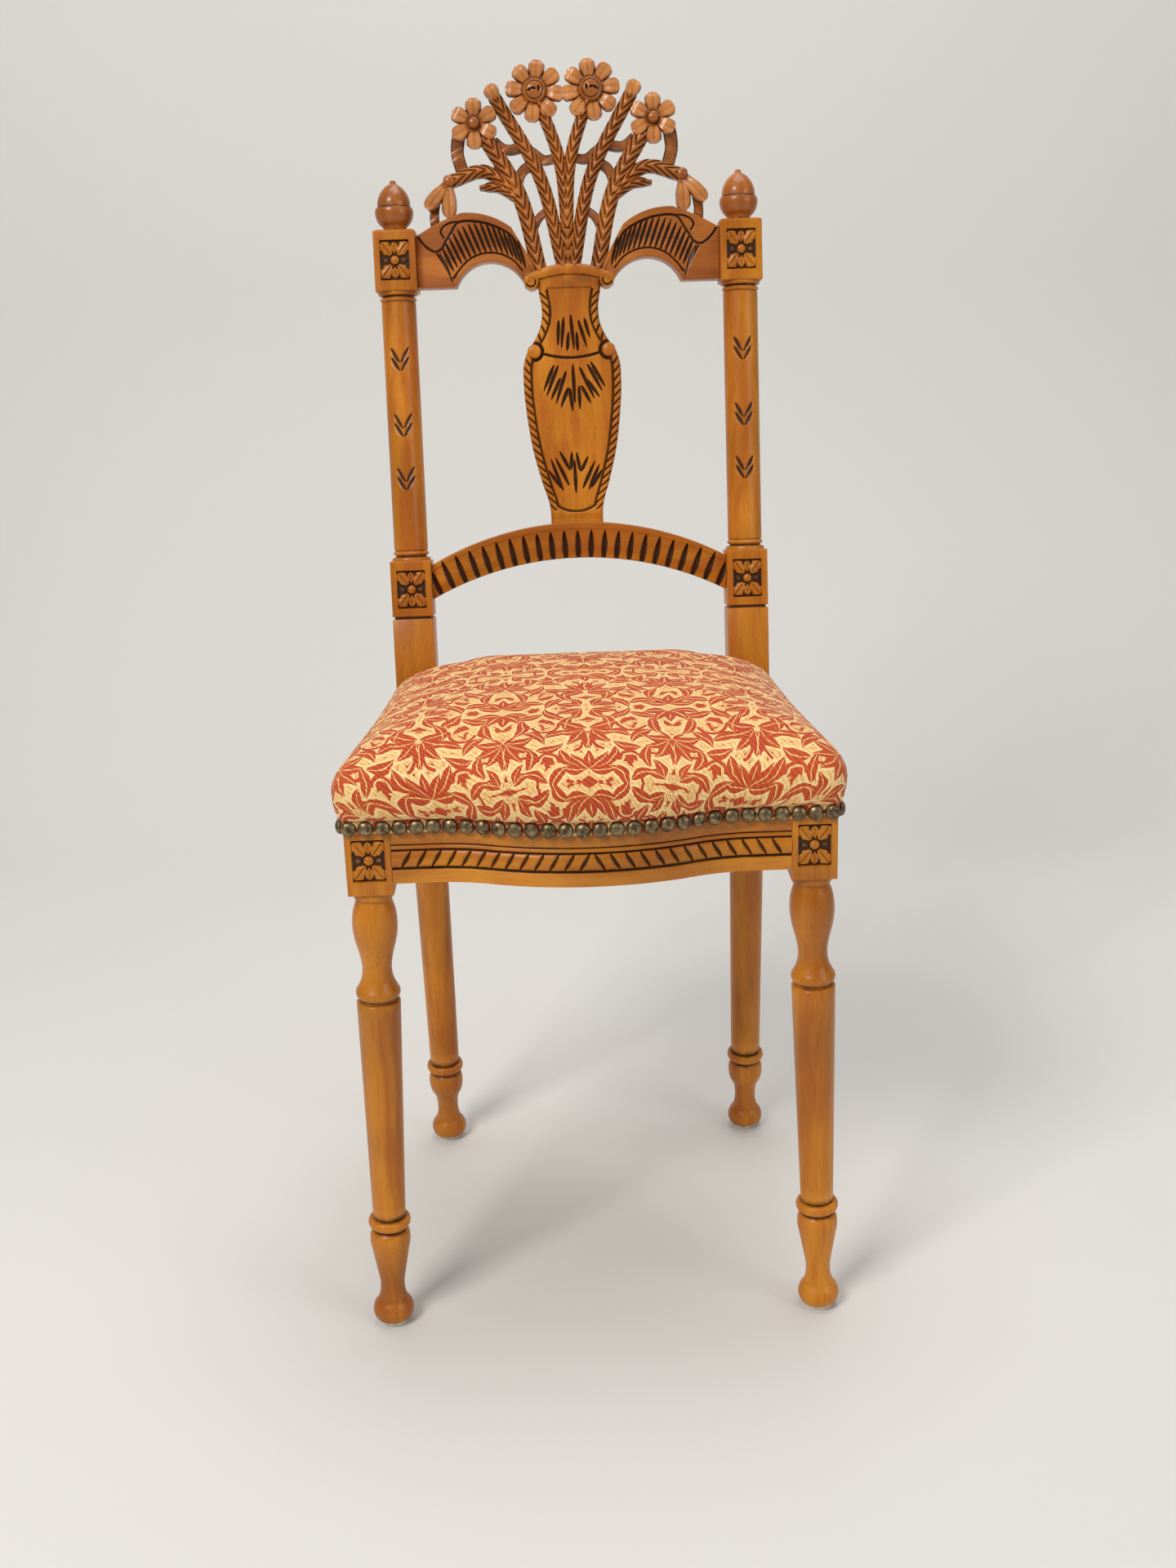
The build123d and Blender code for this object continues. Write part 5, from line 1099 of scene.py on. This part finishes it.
def jute_finish(name, light, dark, threads):
    """Coarse plain jute."""
    made, tree, shader = blank_finish(name)
    weave = placed_group(tree, WEAVE, {"Vector": object_place(tree), "Threads": threads, "Slant": 0.0})
    fill(tree, shader, {"Base Color": blend(tree, weave.outputs["Shade"], dark, light), "Roughness": 0.9})
    raise_surface(tree, shader, weave.outputs["Height"], 0.5, 0.0006)
    return made


def plastic_finish(name, tone):
    """Scuffed pale plastic."""
    made, tree, shader = blank_finish(name)
    share = ramp(tree, noise(tree, object_place(tree), 160.0, 4.0), 0.4, 0.75)
    fill(tree, shader, {"Base Color": blend(tree, share, tone, rgb(150, 138, 118)),
                        "Roughness": maths(tree, "MULTIPLY_ADD", share, 0.2, 0.42)})
    return made


# Damask, in mm in one quarter of its repeat
DAMASK_TILE = (64.0, 92.0)
# Leaves about a middle: x, y, reach, count, first turn, step, lean, half length, half width, bend
DAMASK_WREATHS = (
    (33, 27, 17.0, 6, 12, 60, 58, 14.0, 5.4, 0.9), (31, 73, 14.0, 5, 40, 72, -58, 13.0, 5.2, -0.9),
    (0, 36, 14.0, 4, 90, -38, 0, 13.5, 5.6, 0.4), (64, 50, 13.0, 4, 90, 34, 0, 13.0, 5.4, -0.4),
    (0, 84, 12.5, 3, -90, 40, 0, 12.0, 5.0, 0.4), (64, 4, 12.0, 3, 90, 40, 0, 12.0, 5.0, 0.4),
    (2, 4, 10.5, 2, 60, -42, 0, 11.0, 4.6, 0.5), (60, 86, 10.0, 2, 200, 40, 0, 10.5, 4.4, 0.5))
# Stems: x, y, radius, half width, and the side that shows
DAMASK_STEMS = (
    (33, 27, 10.5, 1.7, 100), (31, 73, 8.5, 1.6, 260), (16, 52, 12.0, 1.6, 200), (50, 52, 13.0, 1.6, 20),
    (12, 14, 11.0, 1.5, -50), (50, 88, 10.0, 1.5, 150))

damask = damask_finish()
nail_brass = metal_finish("Antique brass", rgb(158, 138, 104), rgb(70, 57, 40), 0.36)
screw_steel = metal_finish("Dull steel", rgb(176, 178, 180), rgb(92, 92, 94), 0.38)
webbing_jute = jute_finish("Jute webbing", rgb(190, 160, 112), rgb(118, 92, 58), 330.0)
hessian_jute = jute_finish("Hessian", rgb(182, 150, 100), rgb(96, 72, 42), 420.0)
glide_plastic = plastic_finish("Pale glide plastic", rgb(222, 214, 196))
piece("foot_glide_discs", joined(*glides), glide_plastic, ["foot_glides"])


# Cushion
def outline_of(node_name, turns, low=None, high=None):
    """How far a node reaches in plan along each turn from the middle of the seat, between two heights."""
    mesh = bpy.data.objects[node_name].data
    points = np.empty(len(mesh.vertices) * 3)
    mesh.vertices.foreach_get("co", points)
    points = points.reshape(-1, 3) / MM
    edges = np.empty(len(mesh.edges) * 2, int)
    mesh.edges.foreach_get("vertices", edges)
    a, b = points[edges[0::2]], points[edges[1::2]]
    keep = np.ones(len(a), bool)
    if low is not None:
        keep = (np.minimum(a[:, 2], b[:, 2]) >= low) & (np.maximum(a[:, 2], b[:, 2]) <= high)
    a, b = a[keep, :2], b[keep, :2]
    reach = np.zeros(len(turns))
    for step, turn in enumerate(turns):
        ray = np.array([math.cos(turn), math.sin(turn)])
        off_a, off_b = a[:, 0] * ray[1] - a[:, 1] * ray[0], b[:, 0] * ray[1] - b[:, 1] * ray[0]
        cross = (off_a * off_b <= 0) & (np.abs(off_a - off_b) > 1e-9)
        share = off_a[cross] / (off_a[cross] - off_b[cross])
        hit = a[cross] + share[:, None] * (b[cross] - a[cross])
        reach[step] = (hit @ ray).max()
    return reach


def ring_at(reach, height):
    """Rings of points about the middle of the seat, at a reach and a height for each turn."""
    return np.stack([reach * np.cos(around), reach * np.sin(around), height + 0 * reach], axis=-1)


RING = 420                              # points in a ring of the cushion and the hessian
CROWN_TOP = 518.5
WALL_TOP = 465.0
HEM_TOP, HEM = 446.0, 435.8             # where the wall meets the rail, and its lower edge
HEM_ROWS = (443.0, 440.0, 437.5, HEM)
CLOTH_THICK = 1.2
SWELL = 4.0                             # the most that the cover may move when it swells
HELD_ROWS = 6                           # rows at the hem that the nails hold
SWELL_FRAMES = 12
around = np.linspace(0, 2 * math.pi, RING, endpoint=False)
full = softened(outline_of("seat_cover", around), 3) - 1.0
hem_reach = outline_of("seat_cover", around, 430.0, 440.0)
notched = hem_reach < 0
hem = softened(np.where(notched, full, hem_reach), 1)
pad_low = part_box("seat_stuffing")[0][2] / MM
shares = 1 - (1 - np.linspace(0.006, 1, 52)) ** 1.5
rows = [ring_at(full * share, WALL_TOP + (CROWN_TOP - WALL_TOP) * max(1 - share ** 2.7, 0) ** (1 / 2.1))
        for share in shares]
for turn in np.linspace(0.15, 1, 9) * (math.pi / 2):
    reach = full + (hem - full) * (1 - math.cos(turn)) ** 0.9
    rows.append(ring_at(reach, WALL_TOP + (HEM_TOP - WALL_TOP) * math.sin(turn)))
rows = np.array(rows + [ring_at(hem, height) for height in HEM_ROWS])
# Round the posts the cover has no hem: its wall stops just above the hessian there
short = (pad_low + 0.8 - HEM) / (WALL_TOP - HEM) * softened(notched.astype(float), 1)
rows[..., 2] += np.maximum(WALL_TOP - rows[..., 2], 0) * short


def settle_cushion(rows):
    """Lets the cover swell a little against the nails that hold its edge, and returns the moved rows."""
    points, faces, _ = rings_skin(rows)
    mesh = bpy.data.meshes.new("cushion_trial")
    mesh.from_pydata((points * MM).tolist(), [], faces[:-1])
    trial = bpy.data.objects.new("cushion_trial", mesh)
    scene.collection.objects.link(trial)
    held = trial.vertex_groups.new(name="held")
    held.add(list(range(len(points) - HELD_ROWS * RING, len(points))), 1.0, "REPLACE")
    cloth = trial.modifiers.new("cloth", "CLOTH")
    settings = cloth.settings
    settings.quality = 5
    settings.mass = 0.4
    settings.tension_stiffness = settings.compression_stiffness = 18
    settings.bending_stiffness = 0.6
    settings.vertex_group_mass = "held"
    settings.use_pressure = True
    settings.uniform_pressure_force = 3.0
    settings.effector_weights.gravity = 0
    cloth.collision_settings.use_collision = False
    for step in range(1, SWELL_FRAMES + 1):
        scene.frame_set(step)
    state = trial.evaluated_get(bpy.context.evaluated_depsgraph_get()).to_mesh()
    moved = np.empty(len(state.vertices) * 3)
    state.vertices.foreach_get("co", moved)
    trial.modifiers.clear()
    bpy.data.objects.remove(trial)
    scene.frame_set(1)
    shift = moved.reshape(rows.shape) / MM - rows
    size = np.linalg.norm(shift, axis=2, keepdims=True)
    return rows + shift * np.minimum(1, SWELL / np.maximum(size, 1e-6))


rows = settle_cushion(rows)
steps = np.linalg.norm(np.diff(rows, axis=0), axis=2)
run = np.concatenate([np.linalg.norm(rows[:1, :, :2], axis=2), steps]).cumsum(axis=0)
cloth_uv = ring_at(run, 0.0).reshape(-1, 3) * MM
inner = hem - CLOTH_THICK
turned_in = [ring_at(inner, rows[-1, :, 2]), ring_at(inner, pad_low + 0.2)]
cushion = rings_skin(np.concatenate([rows, turned_in]))
cover = piece("seat_cushion", cushion, damask, ["seat_cover", "seat_stuffing"], sharp=70)
spread = np.concatenate([cloth_uv, np.tile(cloth_uv[-RING:], (2, 1))])
cover.data.attributes.new("cloth_uv", "FLOAT_VECTOR", "POINT").data.foreach_set(
    "vector", spread.astype(np.float32).reshape(-1))


# Upholstery nails, each on the place of its solid
def solids_of(node_name):
    """Points of each separate solid in a node."""
    form = bmesh.new()
    form.from_mesh(bpy.data.objects[node_name].data)
    bmesh.ops.remove_doubles(form, verts=form.verts, dist=1e-6)
    form.verts.ensure_lookup_table()
    seen, found = set(), []
    for vert in form.verts:
        if vert.index in seen:
            continue
        island, todo = [], [vert]
        seen.add(vert.index)
        while todo:
            one = todo.pop()
            island.append(one.co.copy())
            for edge in one.link_edges:
                other = edge.other_vert(one)
                if other.index not in seen:
                    seen.add(other.index)
                    todo.append(other)
        found.append(island)
    form.free()
    return found


def nail_places():
    """Middle of each nail's seat and the way it points."""
    found = []
    for island in solids_of("upholstery_nails"):
        middle = sum(island, Vector()) / len(island)
        rim = NAIL_RIM * max((point - middle).length for point in island)
        base = [point for point in island if (point - middle).length > rim]
        tops = [point for point in island if (point - middle).length <= rim]
        seat = sum(base, Vector()) / len(base)
        way = (sum(tops, Vector()) / len(tops) - seat) if tops else Vector((0, -1, 0))
        found.append((seat, way.normalized()))
    return found


NAIL_RIM = 0.82                         # share of a nail's reach beyond which its points lie on the rim
nail_profile = [(6.0, 0.0), (6.05, 0.35), (5.85, 0.8)]
nail_profile += [(5.85 * math.cos(t), 0.8 + 3.5 * math.sin(t)) for t in np.linspace(0.14, 1.5, 9)]
nail_head = turned(nail_profile, 24)
nail_head = (nail_head[0], nail_head[1], np.clip(1 - nail_head[0][:, 2] / 1.3, 0, 1))
nails = []
for seat, way in nail_places():
    matrix = Matrix.Translation(seat / MM) @ way.to_track_quat("Z", "Y").to_matrix().to_4x4()
    nails.append(placed(nail_head, matrix))
piece("upholstery_nail_heads", joined(*nails), nail_brass, ["upholstery_nails"])


# Webbing straps and the hessian over them, below the cushion
def woven_strap(island):
    """Strap over the path of its solid, with rounded selvedges."""
    points = np.array([tuple(point) for point in island]) / MM
    low, high = points.min(axis=0), points.max(axis=0)
    lengthwise = 0 if high[0] - low[0] > high[1] - low[1] else 1
    crosswise = 1 - lengthwise
    stations = np.unique(points[:, lengthwise].round(1))
    tops = [points[np.abs(points[:, lengthwise] - station) < 0.2, 2].max() for station in stations]
    along = np.linspace(stations[0], stations[-1], STRAP_STEPS)
    level = softened(np.interp(along, stations, tops), 2, "edge") - STRAP_HALF
    half = (high[crosswise] - low[crosswise]) / 2
    middle = (high[crosswise] + low[crosswise]) / 2
    turns = np.linspace(0, 2 * math.pi, STRAP_ROUND, endpoint=False)
    across = np.sign(np.cos(turns)) * np.abs(np.cos(turns)) ** 0.35 * half
    thick = np.sign(np.sin(turns)) * np.abs(np.sin(turns)) ** 0.6 * (STRAP_HALF - 0.05)
    rings = np.zeros((STRAP_STEPS, STRAP_ROUND, 3))
    rings[..., lengthwise] = along[:, None]
    rings[..., crosswise] = middle + across
    rings[..., 2] = level[:, None] + thick
    return rings_skin(rings)


STRAP_STEPS, STRAP_ROUND = 120, 28      # sections along a strap, and points round one
STRAP_HALF = 0.8
straps = [woven_strap(island) for island in solids_of("seat_webbing")]
piece("webbing_straps", joined(*straps), webbing_jute, ["seat_webbing"])
cloth_low, cloth_high = (np.array(corner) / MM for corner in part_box("seat_hessian"))
cloth_reach = outline_of("seat_hessian", around)
cloth_middle = (cloth_low[2] + cloth_high[2]) / 2
cloth_rings = np.array([ring_at(cloth_reach * share, cloth_middle + 0.12 * np.sin(around * 9) * share)
                        for share in np.linspace(0.02, 1, 30)])
cloth_shape = (cloth_rings.reshape(-1, 3), quads(len(cloth_rings), RING, ring=True) + [list(range(RING))],
               np.zeros(len(cloth_rings) * RING))
hessian = piece("hessian_sheet", cloth_shape, hessian_jute, ["seat_hessian"])

# Pieces that stay as they are in the solids, the wooden ones with eased edges
EASED = 0.8
corner_blocks = ["corner_block_" + end + "_" + name for end in ("front", "rear") for name, _ in SIDES]
for names, finish in ((["side_seat_rail_left", "side_seat_rail_right"], side_wood),
                      (["rear_seat_rail"], rail_wood), (corner_blocks, block_wood),
                      (["corner_block_screws"], screw_steel)):
    for name in names:
        obj = bpy.data.objects[name]
        obj.data.materials.clear()
        obj.data.materials.append(finish)
        if finish != screw_steel:
            ease = obj.modifiers.new("eased edges", "BEVEL")
            ease.width = EASED * MM
            ease.segments = 2
            ease.limit_method = "ANGLE"


# Floor, light and camera
def backdrop():
    """Pale floor that turns up into a wall behind the chair in one sweep."""
    depth = [(-4.0, 0.0), (1.0, 0.0)]
    depth += [(1.0 + 0.8 * math.sin(turn), 0.8 - 0.8 * math.cos(turn))
              for turn in np.linspace(0.1, math.pi / 2, 16)]
    depth += [(1.8, 4.0)]
    points = [(x, y, z) for y, z in depth for x in (-5.0, 5.0)]
    mesh = bpy.data.meshes.new("studio_floor")
    mesh.from_pydata(points, [], quads(len(depth), 2))
    mesh.shade_smooth()
    finish, tree, shader = blank_finish("Pale studio paper")
    fill(tree, shader, {"Base Color": rgb(226, 224, 220), "Roughness": 0.9})
    mesh.materials.append(finish)
    floor = bpy.data.objects.new("studio_floor", mesh)
    scene.collection.objects.link(floor)


def lamp(name, place, target, size, power, tone=(1.0, 1.0, 1.0)):
    """Soft rectangular light aimed at a point."""
    light = bpy.data.lights.new(name, "AREA")
    light.shape = "RECTANGLE"
    light.size, light.size_y = size
    light.energy = power
    light.color = tone
    obj = bpy.data.objects.new(name, light)
    obj.location = place
    obj.rotation_euler = (Vector(target) - Vector(place)).to_track_quat("-Z", "Y").to_euler()
    scene.collection.objects.link(obj)


backdrop()
lamp("key_softbox", (-1.5, -2.1, 2.7), (0.0, 0.0, 0.55), (1.1, 1.1), 66.0, (1.0, 0.97, 0.93))
lamp("fill_softbox", (2.3, -1.8, 1.5), (0.0, 0.0, 0.5), (1.4, 1.4), 15.0)
lamp("top_softbox", (0.2, 0.2, 3.2), (0.0, 0.0, 0.5), (1.8, 1.8), 36.0)
world = bpy.data.worlds.new("Studio")
world.use_nodes = True
sky = world.node_tree
fill(sky, sky.nodes["Background"], {"Color": (0.9, 0.92, 0.95, 1.0), "Strength": 0.26})
scene.world = world
scene.view_settings.view_transform = "Standard"

CAMERA_PLACE = (-0.0129, -1.3606, 0.8449)
CAMERA_PITCH, CAMERA_YAW, CAMERA_ROLL = 17.474, 0.558, -1.9
pitch, yaw, roll = (math.radians(value) for value in (CAMERA_PITCH, CAMERA_YAW, CAMERA_ROLL))
level_right = Vector((math.cos(yaw), -math.sin(yaw), 0.0))
level_ahead = Vector((math.sin(yaw), math.cos(yaw), 0.0))
ahead = level_ahead * math.cos(pitch) - Vector((0, 0, 1)) * math.sin(pitch)
upward = level_ahead * math.sin(pitch) + Vector((0, 0, 1)) * math.cos(pitch)
right = level_right * math.cos(roll) + upward * math.sin(roll)
above_axis = upward * math.cos(roll) - level_right * math.sin(roll)
camera = bpy.data.cameras.new("camera")
camera.lens = 38.72
camera.sensor_width = 36.0
eye = bpy.data.objects.new("camera", camera)
eye.matrix_world = Matrix((right, above_axis, -ahead)).transposed().to_4x4()
eye.location = CAMERA_PLACE
scene.collection.objects.link(eye)
scene.camera = eye
